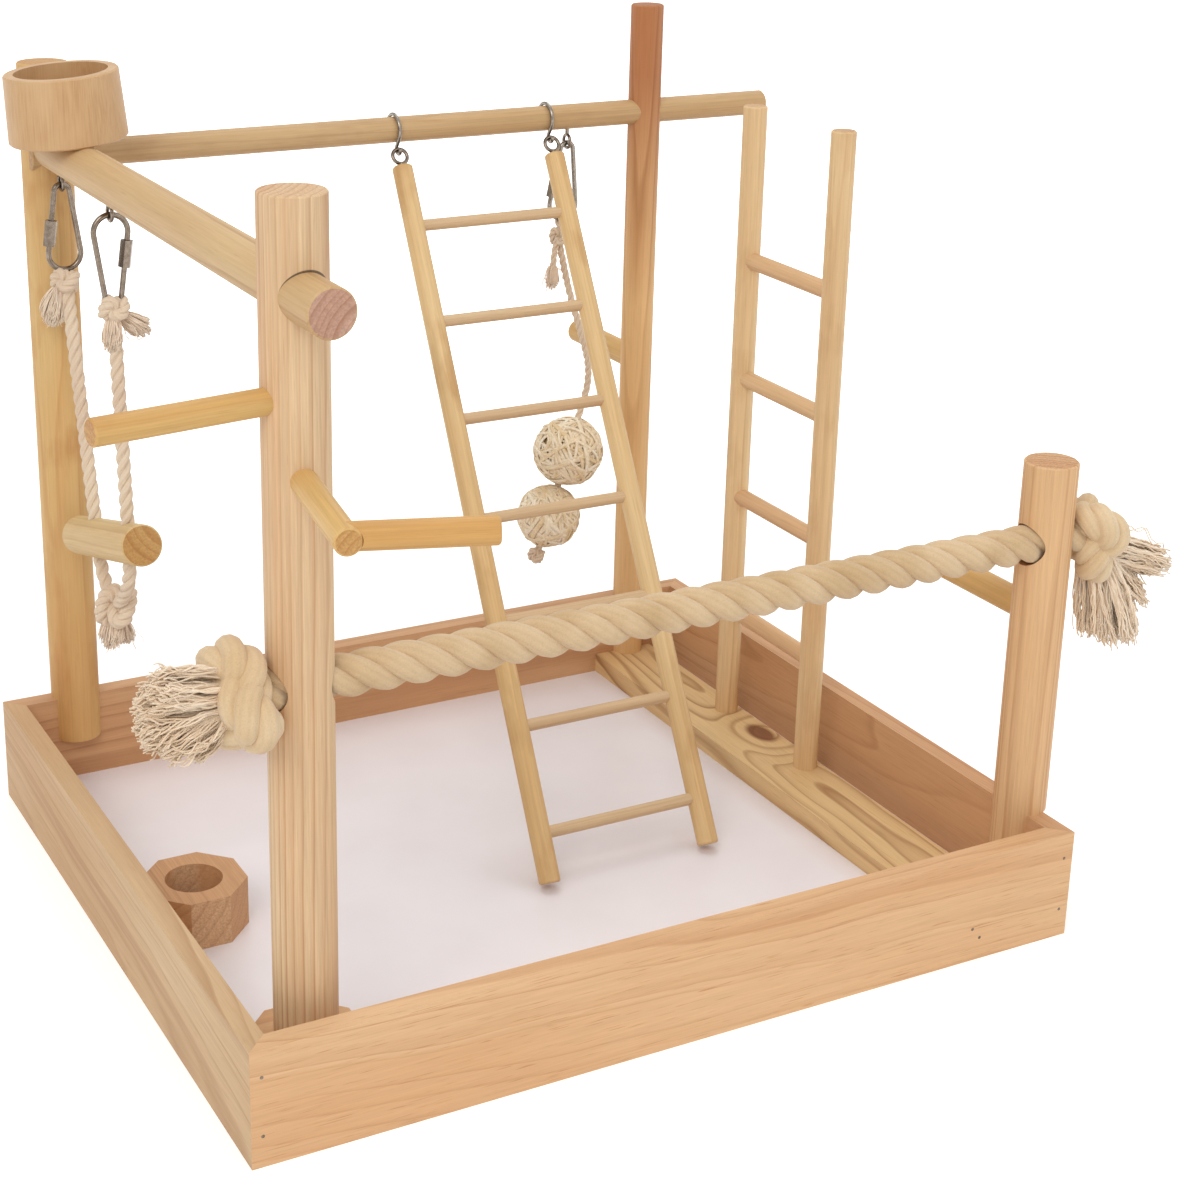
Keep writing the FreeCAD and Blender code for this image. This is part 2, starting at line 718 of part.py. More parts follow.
def rope_end_left():
    """Knot outside the front left post, its frayed end standing out to the left."""
    ends = [Vec(-33, 33, 224), Vec(-35, 43, 208), Vec(-26, 34, 195), Vec(-9, 41, 187)]
    locks = tassel(LEFT_KNOT - X * 3, ends, 14, 17)
    shape = fused([knot(LEFT_KNOT, X, 58, 26)] + locks)
    return shape.cut([rope_perch(), round_clear(FRONT_LEFT, FRONT_LEFT_DIAMETER)])


def rope_end_right():
    """Knot outside the front right post, with a longer frayed end that hangs down."""
    ends = [Vec(540, 34, 183), Vec(533, 43, 158), Vec(516, 35, 142), Vec(494, 40, 137)]
    locks = tassel(RIGHT_KNOT + Vec(5, 0, -9), ends, 14, 18)
    shape = fused([knot(RIGHT_KNOT, X, 52, 28)] + locks)
    return shape.cut([rope_perch(), round_clear(FRONT_RIGHT, OUTER_POST_DIAMETER)])


# ---- swing ----

def swing_point(place):
    return Vec(SWING_X, place[0], place[1])


def swing_rope(name, route):
    return cord(name, [swing_point(place) for place in route], SWING_ROPE_DIAMETER)


def swing_bar(ropes):
    return dowel(SWING_BAR_REAR, SWING_BAR_FRONT, SWING_BAR_DIAMETER).cut(ropes)


def link_knot(centre, tail_start, tail_end):
    """Knot at a link's lower end, with a short frayed tail."""
    body = knot(centre, Vec(0.2, 0, 1).normalize(), 17, 15)
    tail = lock(tail_start, tail_end, 5, 12)
    return fused([body, tail])


def swing_knots(ropes, links):
    rear = link_knot(SWING_KNOT_REAR, SWING_KNOT_REAR + Vec(-3, 0, -4),
                     SWING_KNOT_REAR + Vec(-12, 0, -26))
    front = link_knot(SWING_KNOT_FRONT, SWING_KNOT_FRONT + Vec(3, 0, -4),
                      SWING_KNOT_FRONT + Vec(19, 0, -17))
    return [rear.cut(ropes + links), front.cut(ropes + links)]


def swing_joint_knot(ropes):
    """Both ropes tied together under the bar, their ends frayed."""
    body = knot(JOINT_KNOT, Z, 24, 27)
    ends = [JOINT_KNOT + Vec(-9, -4, -24), JOINT_KNOT + Vec(9, 5, -26)]
    return fused([body] + tassel(JOINT_KNOT - Z * 6, ends, 7, 13)).cut(ropes)


# ---- chew toy ----

BALL_LINE = (LOWER_BALL - UPPER_BALL).normalize()


def toy_cord():
    """Cord tied round the link's lower end, down through both balls to its end knot."""
    hitch = TOY_LINK.lowest()
    loop = ring(hitch, X, TOY_LOOP_RADIUS, TOY_CORD_DIAMETER)
    tie = knot(hitch - Z * 11, Z, 14, 13)
    tail = lock(hitch + Vec(-3, 0, -12), hitch + Vec(-7, 0, -46), 3.5, 7)
    end_knot = LOWER_BALL + BALL_LINE * (LOWER_BALL_RADIUS + 6)
    route = [Vec(x, TOY_Y, z) for x, z in TOY_ROUTE]
    route.append(UPPER_BALL - BALL_LINE * TOY_CORD_STRAIGHT)
    line = cord("toy cord", route + [end_knot], TOY_CORD_DIAMETER)
    stop = knot(end_knot, BALL_LINE, 12, 10.5)
    return fused([line, tie, loop, tail, stop])


def vine_ball(centre, radius):
    """Ball woven of flat vine: crossing bands stand out of a core, bored for the cord."""
    core = Part.makeSphere(radius - BALL_BAND_DEPTH, centre)
    outer = Part.makeSphere(radius, centre)
    golden = (1 + math.sqrt(5)) / 2
    normals = []
    for sign in (-1, 1):
        normals += [Vec(0, sign, golden), Vec(sign, golden, 0), Vec(golden, 0, sign)]
    bands = []
    for normal in normals:
        axis = Vec(normal).normalize()
        slab = Part.makeCylinder(radius + 1, BALL_BAND_WIDTH,
                                 centre - axis * BALL_BAND_WIDTH / 2, axis)
        bands.append(outer.common(slab))
    bore = TOY_CORD_DIAMETER / 2 + BALL_BORE_CLEARANCE
    start = centre - BALL_LINE * (radius + 2)
    hole = Part.makeCylinder(bore, 2 * radius + 4, start, BALL_LINE)
    return fused([core] + bands).cut(hole)


# ---- the stand ----

def build():
    """All pieces by name, in the design frame."""
    rear_rope = swing_rope("swing rope rear", REAR_ROPE_ROUTE)
    front_rope = swing_rope("swing rope front", FRONT_ROPE_ROUTE)
    ropes = [rear_rope, front_rope]
    links = [FRONT_LINK.wire(), REAR_LINK.wire()]
    pieces = tray_panels()
    pieces.update({
        "floor_board": floor_board(),
        "plank": plank(),
        "tray_brads": tray_brads(),
        "post_front_left": post_front_left(),
        "post_back_left": post_back_left(),
        "post_back_right": post_back_right(),
        "post_front_right": post_front_right(),
        "socket_block_front_left": socket_block(FRONT_LEFT, FRONT_LEFT_DIAMETER),
        "spare_socket_block": socket_block(SPARE_BLOCK, SPARE_BORE),
        "post_screws": post_screws(),
        "base_screws": base_screws(),
        "perch_screws": perch_screws(),
        "top_perch": top_perch(),
        "side_perch": side_perch(),
        "left_perch": left_perch(),
        "front_perch": front_perch(),
        "elbow_perch": elbow_perch(),
        "far_perch": far_perch(),
        "right_perch": right_perch(),
        "feed_cup": feed_cup(),
        "ladder_rail_left": ladder_rail(0),
        "ladder_rail_right": ladder_rail(1),
        "ladder_eyes": [ladder_eye(0), ladder_eye(1)],
        "ladder_hooks": [ladder_hook(0), ladder_hook(1)],
        "upright_post_front": upright_post(UPRIGHT_FRONT),
        "upright_post_back": upright_post(UPRIGHT_BACK),
        "rope_perch": rope_perch(),
        "rope_end_left": rope_end_left(),
        "rope_end_right": rope_end_right(),
        "perch_eyes": swing_eyes() + [perch_eye(TOY_EYE)],
        "swing_link_front": links[0],
        "swing_link_back": links[1],
        "swing_sleeve_front": FRONT_LINK.sleeve(),
        "swing_sleeve_back": REAR_LINK.sleeve(),
        "swing_rope_front": front_rope.cut(links),
        "swing_rope_back": rear_rope.cut(links),
        "swing_knots": swing_knots(ropes, links),
        "swing_bar": swing_bar(ropes),
        "swing_joint_knot": swing_joint_knot(ropes),
        "toy_link": TOY_LINK.wire(),
        "toy_sleeve": TOY_LINK.sleeve(),
        "toy_cord": toy_cord(),
        "vine_ball_upper": vine_ball(UPPER_BALL, UPPER_BALL_RADIUS),
        "vine_ball_lower": vine_ball(LOWER_BALL, LOWER_BALL_RADIUS),
    })
    for number in range(RUNG_COUNT):
        pieces["ladder_rung_%d" % (number + 1)] = rung_bar(number)
    for number, z in enumerate(UPRIGHT_RUNG_Z):
        pieces["upright_rung_%d" % (number + 1)] = upright_rung(z)
    return pieces


def main():
    os.makedirs("parts", exist_ok=True)
    for name, piece in build().items():
        solids = piece if isinstance(piece, list) else [piece]
        shape = Part.makeCompound(solids) if len(solids) > 1 else solids[0]
        if len(shape.Solids) == 1:
            shape = shape.Solids[0]
        shape.translate(-ORIGIN)
        if not shape.isValid():
            print("not valid:", name)
        if len(shape.Solids) != len(solids):
            print("solid count:", name, len(shape.Solids))
        shape.exportStep("parts/%s.step" % name)


main()
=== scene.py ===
import math
import random
import bpy
import numpy as np
from mathutils import Matrix, Vector


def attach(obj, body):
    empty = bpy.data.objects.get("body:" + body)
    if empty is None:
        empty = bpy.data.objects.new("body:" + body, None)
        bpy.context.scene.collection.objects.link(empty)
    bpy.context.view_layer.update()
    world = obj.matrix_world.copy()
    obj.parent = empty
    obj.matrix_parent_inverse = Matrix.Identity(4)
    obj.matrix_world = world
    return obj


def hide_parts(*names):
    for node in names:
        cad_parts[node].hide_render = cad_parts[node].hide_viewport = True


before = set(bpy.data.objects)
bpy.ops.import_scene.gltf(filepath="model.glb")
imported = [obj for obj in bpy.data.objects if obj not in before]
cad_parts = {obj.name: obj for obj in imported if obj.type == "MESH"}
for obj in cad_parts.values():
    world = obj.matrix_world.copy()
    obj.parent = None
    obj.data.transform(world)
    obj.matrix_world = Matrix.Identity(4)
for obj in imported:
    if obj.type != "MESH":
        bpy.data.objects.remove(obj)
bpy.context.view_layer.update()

# Points are written in millimetres from the tray's front left outer corner, X right, Y to the
# back, Z up, and at() gives them in metres from the middle of the stand.
ORIGIN = (225.7, 199.5, 0.0)


def at(x, y, z):
    return Vector(((x - ORIGIN[0]) / 1000, (y - ORIGIN[1]) / 1000, (z - ORIGIN[2]) / 1000))


def srgb(red, green, blue):
    """A colour as it shows on screen, 0 to 255, turned into the linear values that shaders use."""
    linear = []
    for value in (red, green, blue):
        value /= 255
        linear.append(value / 12.92 if value <= 0.04045 else ((value + 0.055) / 1.055) ** 2.4)
    return (*linear, 1.0)


# ---- camera ----

camera_data = bpy.data.cameras.new("camera")
camera = bpy.data.objects.new("camera", camera_data)
bpy.context.collection.objects.link(camera)
camera_data.sensor_width = 36
camera_data.lens = 66.3147
camera_data.shift_x = 0.08
camera_data.shift_y = -0.12
camera_data.clip_start = 0.05
camera_data.clip_end = 30
camera.rotation_mode = "QUATERNION"
camera.location = (-0.511454, -0.980973, 0.608038)
camera.rotation_quaternion = (0.7891424, 0.5673657, -0.1427363, -0.1870211)
bpy.context.scene.camera = camera
bpy.context.scene.view_settings.view_transform = "Standard"


# ---- node helpers ----

# Scale that turns metres into millimetres
MM = (1000, 1000, 1000)


class Nodes:
    """A material's node tree, with short calls that each add one node and return its output."""

    def __init__(self, name):
        self.material = bpy.data.materials.new(name)
        self.material.use_nodes = True
        self.tree = self.material.node_tree
        self.tree.nodes.clear()
        self.shader = self.tree.nodes.new("ShaderNodeBsdfPrincipled")
        output = self.tree.nodes.new("ShaderNodeOutputMaterial")
        self.tree.links.new(self.shader.outputs["BSDF"], output.inputs["Surface"])

    def put(self, socket, value):
        if isinstance(value, bpy.types.NodeSocket):
            self.tree.links.new(value, socket)
        elif value is not None:
            socket.default_value = value

    def math(self, operation, a, b=None):
        node = self.tree.nodes.new("ShaderNodeMath")
        node.operation = operation
        for socket, value in zip(node.inputs, (a, b)):
            self.put(socket, value)
        return node.outputs[0]

    def vector(self, operation, a, b=None, scale=None):
        node = self.tree.nodes.new("ShaderNodeVectorMath")
        node.operation = operation
        self.put(node.inputs[0], a)
        self.put(node.inputs[1], b)
        if scale is not None:
            self.put(node.inputs["Scale"], scale)
        gives_number = operation in ("LENGTH", "DOT_PRODUCT")
        return node.outputs["Value"] if gives_number else node.outputs[0]

    def parts(self, vector):
        node = self.tree.nodes.new("ShaderNodeSeparateXYZ")
        self.put(node.inputs[0], vector)
        return node.outputs[0], node.outputs[1], node.outputs[2]

    def join(self, x, y, z):
        node = self.tree.nodes.new("ShaderNodeCombineXYZ")
        for socket, value in zip(node.inputs, (x, y, z)):
            self.put(socket, value)
        return node.outputs[0]

    def own_number(self):
        """A number from 0 to 1 that differs from one thread or strip of a mesh to the next."""
        return self.tree.nodes.new("ShaderNodeNewGeometry").outputs["Random Per Island"]

    def coordinates(self, kind="Object"):
        return self.tree.nodes.new("ShaderNodeTexCoord").outputs[kind]

    def millimetres(self):
        """The place on the stand in millimetres, from the zero point of the frame."""
        return self.mapped(self.coordinates(), scale=MM)

    def mapped(self, vector, location=(0, 0, 0), rotation=(0, 0, 0), scale=(1, 1, 1)):
        node = self.tree.nodes.new("ShaderNodeMapping")
        self.put(node.inputs["Vector"], vector)
        node.inputs["Location"].default_value = location
        node.inputs["Rotation"].default_value = rotation
        node.inputs["Scale"].default_value = scale
        return node.outputs[0]

    def noise(self, vector, scale=1.0, detail=2.0, roughness=0.5, colour=False):
        node = self.tree.nodes.new("ShaderNodeTexNoise")
        self.put(node.inputs["Vector"], vector)
        node.inputs["Scale"].default_value = scale
        node.inputs["Detail"].default_value = detail
        node.inputs["Roughness"].default_value = roughness
        return node.outputs["Color"] if colour else node.outputs["Fac"]

    def ramp(self, factor, stops):
        """A grey value that runs through stops, each a place from 0 to 1 and a level."""
        node = self.tree.nodes.new("ShaderNodeValToRGB")
        elements = node.color_ramp.elements
        while len(elements) < len(stops):
            elements.new(0.5)
        for element, (place, level) in zip(elements, stops):
            element.position = place
            element.color = (level, level, level, 1)
        self.put(node.inputs[0], factor)
        return node.outputs["Color"]

    def mix(self, factor, a, b):
        node = self.tree.nodes.new("ShaderNodeMix")
        node.data_type = "RGBA"
        node.clamp_factor = True
        self.put(node.inputs["Factor"], factor)
        colour_a, colour_b, result = node.inputs[6], node.inputs[7], node.outputs[2]
        self.put(colour_a, a)
        self.put(colour_b, b)
        return result

    def bump(self, height, strength, distance):
        """Relief of the shader's surface, distance in metres."""
        node = self.tree.nodes.new("ShaderNodeBump")
        node.inputs["Strength"].default_value = strength
        node.inputs["Distance"].default_value = distance
        self.put(node.inputs["Height"], height)
        self.put(self.shader.inputs["Normal"], node.outputs[0])

    def span(self, value, low, high, new_low=0.0, new_high=1.0):
        """value carried from the span low to high to new_low to new_high, and held at the ends."""
        node = self.tree.nodes.new("ShaderNodeMapRange")
        node.clamp = True
        self.put(node.inputs["Value"], value)
        ends = {"From Min": low, "From Max": high, "To Min": new_low, "To Max": new_high}
        for key, number in ends.items():
            node.inputs[key].default_value = number
        return node.outputs[0]


# ---- wood ----

# Share of late wood through one growth ring, from its start to its end
LATE_WOOD = ((0.0, 0.06), (0.5, 0.14), (0.78, 0.52), (0.9, 1.0), (0.96, 0.7), (1.0, 0.06))


def wood(name, grain, centre, pith, ring, light, dark, accent, seed, taper=0.0, warp=5.0,
         fibre=0.5, contrast=0.7, accent_share=0.45, rough=0.55, branch=None, uneven=2.4,
         flecks=0.3, dark_patches=0.0, blush=None, end_tint=(0.86, 0.76, 0.7), hole_shade=None):
    """Solid wood: growth rings about a pith line beside the piece, with fibres along the grain.

    grain is the piece's long direction, centre a point on it in millimetres, pith the pith
    line's place in the cross-section from there and ring the rings' pitch. light is the early
    wood's colour, dark the late wood's, and accent the early wood's in some rings. taper leans
    the rings along the grain, warp waves them and uneven varies their widths. branch is a
    knot's place, size and colour; blush a tint and where it starts and is full along the
    grain; hole_shade a point on the axis, along Y, and the radius of a hole, round whose rim
    a dark ring is painted as the shadow in the gap about the dowel.
    """
    n = Nodes(name)
    # Place in the piece: x and y across the grain and z along it, in millimetres
    turn = Vector(grain).normalized().rotation_difference(Vector((0, 0, 1)))
    shift = turn @ (at(*centre) * 1000)
    here = n.mapped(n.coordinates(), location=tuple(-shift), rotation=tuple(turn.to_euler()),
                    scale=MM)
    x, y, z = n.parts(here)
    drift = (seed * 37.1, seed * 11.7, seed * 71.3)

    # Distance from the waving pith line, swollen about a knot
    slow = n.noise(n.mapped(here, drift, scale=(0.018, 0.018, 0.0055)), 1, 2, 0.5, colour=True)
    warp_x, warp_y, warp_z = n.parts(n.vector("SUBTRACT", slow, (0.5, 0.5, 0.5)))
    lean = n.math("MULTIPLY", z, taper)
    across = n.math("ADD", n.math("SUBTRACT", n.math("SUBTRACT", x, pith[0]), lean),
                    n.math("MULTIPLY", warp_x, warp * 2))
    deep = n.math("ADD", n.math("SUBTRACT", y, pith[1]), n.math("MULTIPLY", warp_y, warp * 2))
    reach = n.vector("LENGTH", n.join(across, deep, 0.0))
    if branch is not None:
        # The rings part round the knot by a bell curve, with 2.718 for e
        spot = turn @ (at(*branch[0]) * 1000) - shift
        away = n.vector("SUBTRACT", here, tuple(spot))
        away = n.vector("LENGTH", n.vector("MULTIPLY", away, (1.0, 1.0, 0.55)))
        swell = n.math("POWER", 2.718, n.math("MULTIPLY", n.math("MULTIPLY", away, away),
                                              -1 / branch[1] ** 2))
        reach = n.math("ADD", reach, n.math("MULTIPLY", swell, branch[1] * 1.6))

    # Rings: turns counts them, and late is the dark late wood's share of the colour
    shifts = n.noise(n.join(n.math("MULTIPLY", reach, 0.09), drift[0], 0.0), 1, 1)
    turns = n.math("ADD", n.math("MULTIPLY", reach, 1 / ring), n.math("MULTIPLY", shifts, uneven))
    late = n.ramp(n.math("FRACT", turns), LATE_WOOD)
    depth = n.join(n.math("MULTIPLY", turns, 0.45), drift[1], n.math("MULTIPLY", z, 0.004))
    late = n.math("MULTIPLY", late, n.span(n.noise(depth, 1, 2), 0.3, 0.7, 0.3, 1.0))
    band = n.join(n.math("MULTIPLY", turns, 0.23), n.math("MULTIPLY", z, 0.0035), drift[2])
    band = n.noise(band, 1, 3)
    colour = n.mix(n.span(band, 0.5 - accent_share / 2.2, 0.72, 0, 1), light, accent)
    colour = n.mix(n.math("MULTIPLY", late, contrast), colour, dark)

    # Fibres, resin dashes and darker patches at random
    streaks = n.noise(n.mapped(here, drift, scale=(0.9, 0.9, 0.018)), 1, 4, 0.65)
    fine = n.noise(n.mapped(here, drift, scale=(2.6, 2.6, 0.07)), 1, 3, 0.6)
    dashes = n.noise(n.mapped(here, drift, scale=(1.5, 1.5, 0.05)), 1, 2, 0.5)
    colour = n.mix(n.span(dashes, 0.62, 0.74, 0, flecks), colour, dark)
    if dark_patches:
        patches = n.noise(n.mapped(here, drift, scale=(0.05, 0.05, 0.021)), 1, 3, 0.55)
        colour = n.mix(n.span(patches, 0.54, 0.7, 0, dark_patches), colour, dark)
    shade = n.math("ADD", n.span(streaks, 0.3, 0.7, 1 - 0.14 * fibre, 1 + 0.1 * fibre),
                   n.span(fine, 0.25, 0.75, -0.07 * fibre, 0.06 * fibre))
    colour = n.vector("SCALE", colour, scale=shade)

    # A knot's core, a reddened end, the cut ends and a dark ring of painted shade round a hole's
    # rim
    if branch is not None:
        core = n.span(away, branch[1] * 0.3, branch[1] * 0.46, 0.9, 0)
        colour = n.mix(core, colour, branch[2])
    if blush is not None:
        tinted = n.vector("MULTIPLY", colour, blush[0])
        colour = n.mix(n.span(n.math("ADD", z, n.math("MULTIPLY", warp_z, 60)), blush[1], blush[2]),
                       colour, tinted)
    facing = n.math("ABSOLUTE", n.vector("DOT_PRODUCT", n.coordinates("Normal"),
                                         tuple(Vector(grain).normalized())))
    pores = n.span(streaks, 0.35, 0.6, 0.86, 1.04)
    cut = n.vector("SCALE", n.vector("MULTIPLY", colour, end_tint), scale=pores)
    end_line = (*(part * tint for part, tint in zip(dark, end_tint)), 1)
    cut = n.mix(n.math("MULTIPLY", late, 0.6), cut, end_line)
    colour = n.mix(n.span(facing, 0.8, 0.95), colour, cut)
    # Painted shadow: a dark ring round the rim of a hole where a dowel passes through, standing for
    # the shade in the gap
    if hole_shade is not None:
        off = n.mapped(n.coordinates(), tuple(at(*hole_shade[0]) * -1000), scale=MM)
        rim = n.vector("LENGTH", n.vector("MULTIPLY", off, (1.0, 0.0, 1.0)))
        colour = n.mix(n.span(rim, hole_shade[1] - 0.15, hole_shade[1] + 0.15, 0.85, 0), colour, srgb(58, 40, 26))

    n.put(n.shader.inputs["Base Color"], colour)
    n.put(n.shader.inputs["Roughness"], n.span(streaks, 0.3, 0.7, rough + 0.08, rough - 0.06))
    n.shader.inputs["Specular IOR Level"].default_value = 0.35
    height = n.math("ADD", n.math("MULTIPLY", fine, 0.6), n.math("MULTIPLY", late, -0.35))
    n.bump(n.math("ADD", height, n.math("MULTIPLY", streaks, 0.5)), 0.4, 0.00015)
    return n.material


def dress(node, material):
    """Give a solid of the frame its material, on all its faces."""
    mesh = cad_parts[node].data
    mesh.materials.clear()
    mesh.materials.append(material)
    mesh.polygons.foreach_set("material_index", [0] * len(mesh.polygons))


SIDE = (0, 1, 0)
FRONT = (1, 0, 0)
UP = (0, 0, 1)

dress("front_panel", wood("front_panel_pine", FRONT, (230, 5, 30), (-46, 14), 9.0,
      srgb(229, 191, 147), srgb(186, 128, 82), srgb(219, 173, 127), 1, taper=0.05, warp=11,
      contrast=0.66, uneven=4.0, flecks=0.8))
dress("back_panel", wood("back_panel_pine", FRONT, (230, 395, 30), (30, 40), 6.5,
      srgb(212, 170, 127), srgb(158, 102, 63), srgb(194, 142, 99), 2, taper=-0.03, warp=6,
      contrast=0.6, uneven=3.5))
dress("left_panel", wood("left_panel_pine", SIDE, (5, 200, 30), (-38, 30), 8.0,
      srgb(212, 182, 142), srgb(166, 120, 80), srgb(198, 158, 114), 3, taper=0.05, warp=9,
      contrast=0.62, uneven=3.5, flecks=0.4))
dress("right_panel", wood("right_panel_pine", SIDE, (455, 200, 30), (40, -26), 8.0,
      srgb(216, 174, 131), srgb(162, 106, 67), srgb(200, 149, 105), 4, taper=-0.05, warp=9,
      contrast=0.6, uneven=3.5, flecks=0.4))
dress("plank", wood("plank_pine", SIDE, (413, 200, 15), (8, -22), 6.5,
      srgb(228, 197, 145), srgb(152, 104, 60), srgb(214, 174, 122), 5, taper=0.06, warp=12,
      contrast=0.9, branch=((425, 240, 21), 18, srgb(118, 68, 38))))
dress("post_front_left", wood("front_left_post_pine", UP, (42, 38, 200), (-44, 40), 3.3,
      srgb(221, 193, 154), srgb(182, 128, 86), srgb(211, 168, 126), 6, taper=0.006, warp=2,
      accent_share=0.4, contrast=0.8, fibre=0.9, uneven=1.6, end_tint=(0.98, 0.95, 0.92),
      hole_shade=((42.3, 38, 386.9), 11.05)))
dress("post_back_left", wood("back_left_post_pine", UP, (42, 395, 200), (30, 30), 5.6,
      srgb(216, 189, 132), srgb(188, 134, 78), srgb(208, 162, 102), 7, taper=0.012, warp=4,
      dark_patches=0.6))
dress("post_back_right", wood("back_right_post_pine", UP, (416, 389, 200), (18, 26), 4.6,
      srgb(230, 194, 142), srgb(184, 132, 82), srgb(220, 176, 120), 8, taper=0.03, warp=4,
      blush=((0.6, 0.38, 0.31), 60, 210)))
dress("post_front_right", wood("front_right_post_pine", UP, (454, 38, 140), (-38, -42), 3.8,
      srgb(228, 193, 146), srgb(178, 122, 78), srgb(214, 166, 118), 9, taper=0.008, warp=2.5,
      contrast=0.85, fibre=0.8, uneven=1.8))
dress("socket_block_front_left", wood("front_block_pine", FRONT, (42, 38, 22), (-34, 20), 5.5,
      srgb(222, 184, 138), srgb(178, 122, 78), srgb(210, 160, 110), 10, warp=4))
dress("spare_socket_block", wood("spare_block_pine", SIDE, (44, 196, 22), (-30, -26), 5.5,
      srgb(202, 156, 112), srgb(160, 112, 74), srgb(188, 138, 96), 11, warp=4, contrast=0.5,
      fibre=0.9, end_tint=(1.12, 1.28, 1.5)))

BEECH = (srgb(218, 182, 136), srgb(184, 136, 94), srgb(208, 164, 120))
HONEY = (srgb(218, 182, 118), srgb(184, 134, 74), srgb(206, 160, 96))
AMBER = (srgb(214, 170, 104), srgb(178, 122, 64), srgb(202, 150, 84))


def beech(name, grain, centre, seed, colours=BEECH, dark_patches=0.0):
    """Fine, even wood of the dowels; colours are its light, dark and accent colours."""
    return wood(name, grain, centre, (19, 12), 3.4, colours[0], colours[1], colours[2], seed,
                taper=0.004, warp=2, fibre=0.7, contrast=0.4, rough=0.5, dark_patches=dark_patches)


# The top perch's colours are darker than the other dowels': partly its own tone, partly painted
# shade
dress("top_perch", beech("top_perch_wood", FRONT, (260, 389, 381), 20,
      (srgb(201, 169, 125), srgb(162, 121, 79), srgb(189, 151, 105)), dark_patches=0.3))
dress("side_perch", wood("side_perch_wood", SIDE, (42, 200, 386), (26, 18), 3.8,
      srgb(206, 175, 128), srgb(166, 122, 78), srgb(195, 156, 110), 21, taper=0.006, warp=3,
      end_tint=(0.9, 0.82, 1.2)))
dress("left_perch", beech("left_perch_wood", (0.99, 0.138, 0), (0, 30, 341), 22, HONEY, dark_patches=0.5))
dress("front_perch", beech("front_perch_wood", (0.158, 0.987, 0), (35, 0, 308), 23, HONEY))
dress("elbow_perch", beech("elbow_perch_wood", (0.949, -0.314, 0), (60, -52, 308), 24, AMBER))
dress("far_perch", beech("far_perch_wood", SIDE, (416, 430, 222), 25, HONEY))
dress("right_perch", beech("right_perch_wood", SIDE, (454, 80, 171), 26, HONEY))

# The hung ladder leans: a rung's height is its place along the rail times the rail's rise
LADDER_UP = (19.3, 244.5, 372.0)
RAIL_FOOT, FIRST_RUNG, RUNG_PITCH, RAIL_RISE = 9, 31, 59, 0.83
RAIL = (srgb(224, 195, 146), srgb(184, 138, 84), srgb(213, 174, 118))
RUNG = (srgb(213, 185, 146), srgb(180, 140, 102), srgb(202, 168, 128))
dress("ladder_rail_left", beech("left_rail_wood", LADDER_UP, (228, 144.5, RAIL_FOOT), 27,
      RAIL, dark_patches=0.6))
dress("ladder_rail_right", beech("right_rail_wood", LADDER_UP, (328.5, 144.5, RAIL_FOOT), 28,
      RAIL, dark_patches=0.6))
for number in range(1, 8):
    height = RAIL_FOOT + (FIRST_RUNG + RUNG_PITCH * (number - 1)) * RAIL_RISE
    dress("ladder_rung_%d" % number, beech("ladder_rung_wood_%d" % number, FRONT,
          (280, 200, height), 30 + number, RUNG))
for number, height in enumerate((310.0, 238.0, 164.0, 89.5), start=1):
    dress("upright_rung_%d" % number, beech("upright_rung_wood_%d" % number, SIDE,
          (424, 235, height), 40 + number))
UPRIGHT = (srgb(228, 199, 152), srgb(184, 138, 92), srgb(216, 178, 130))
dress("upright_post_front", beech("upright_front_wood", UP, (424, 191, 200), 50, UPRIGHT,
      dark_patches=0.3))
dress("upright_post_back", beech("upright_back_wood", UP, (425, 279, 200), 51, UPRIGHT,
      dark_patches=0.3))
dress("swing_bar", wood("swing_bar_wood", (0, -112, 31.8), (42, 310, 185), (20, 14), 5.0,
      srgb(214, 187, 136), srgb(182, 140, 88), srgb(204, 168, 114), 52, taper=0.006, warp=3,
      end_tint=(0.8, 0.64, 0.46)))


def bamboo():
    """Bamboo of the cup: fine upright fibres, with paler patches."""
    n = Nodes("cup_bamboo")
    here = n.millimetres()
    fibres = n.noise(n.mapped(here, scale=(1.3, 1.3, 0.03)), 1, 4, 0.6)
    slow = n.noise(n.mapped(here, (3, 8, 1), scale=(0.05, 0.05, 0.03)), 1, 2)
    colour = n.mix(n.span(fibres, 0.35, 0.65), srgb(200, 162, 116), srgb(186, 144, 99))
    colour = n.mix(n.span(slow, 0.4, 0.65, 0, 0.6), colour, srgb(208, 172, 128))
    n.put(n.shader.inputs["Base Color"], colour)
    n.shader.inputs["Roughness"].default_value = 0.48
    n.bump(fibres, 0.35, 0.0002)
    return n.material


dress("feed_cup", bamboo())


def white_board():
    """Smooth white lacquered board with a faint mottle and fine scuffs."""
    n = Nodes("floor_white")
    here = n.millimetres()
    mottle = n.noise(n.mapped(here, scale=(0.02, 0.02, 0.02)), 1, 3)
    grain = n.noise(n.mapped(here, scale=(0.9, 0.9, 0.9)), 1, 3)
    colour = n.mix(n.span(mottle, 0.35, 0.65), srgb(236, 230, 232), srgb(233, 226, 228))
    n.put(n.shader.inputs["Base Color"], colour)
    n.put(n.shader.inputs["Roughness"], n.span(grain, 0.3, 0.7, 0.34, 0.44))
    n.bump(grain, 0.12, 0.00012)
    return n.material


dress("floor_board", white_board())


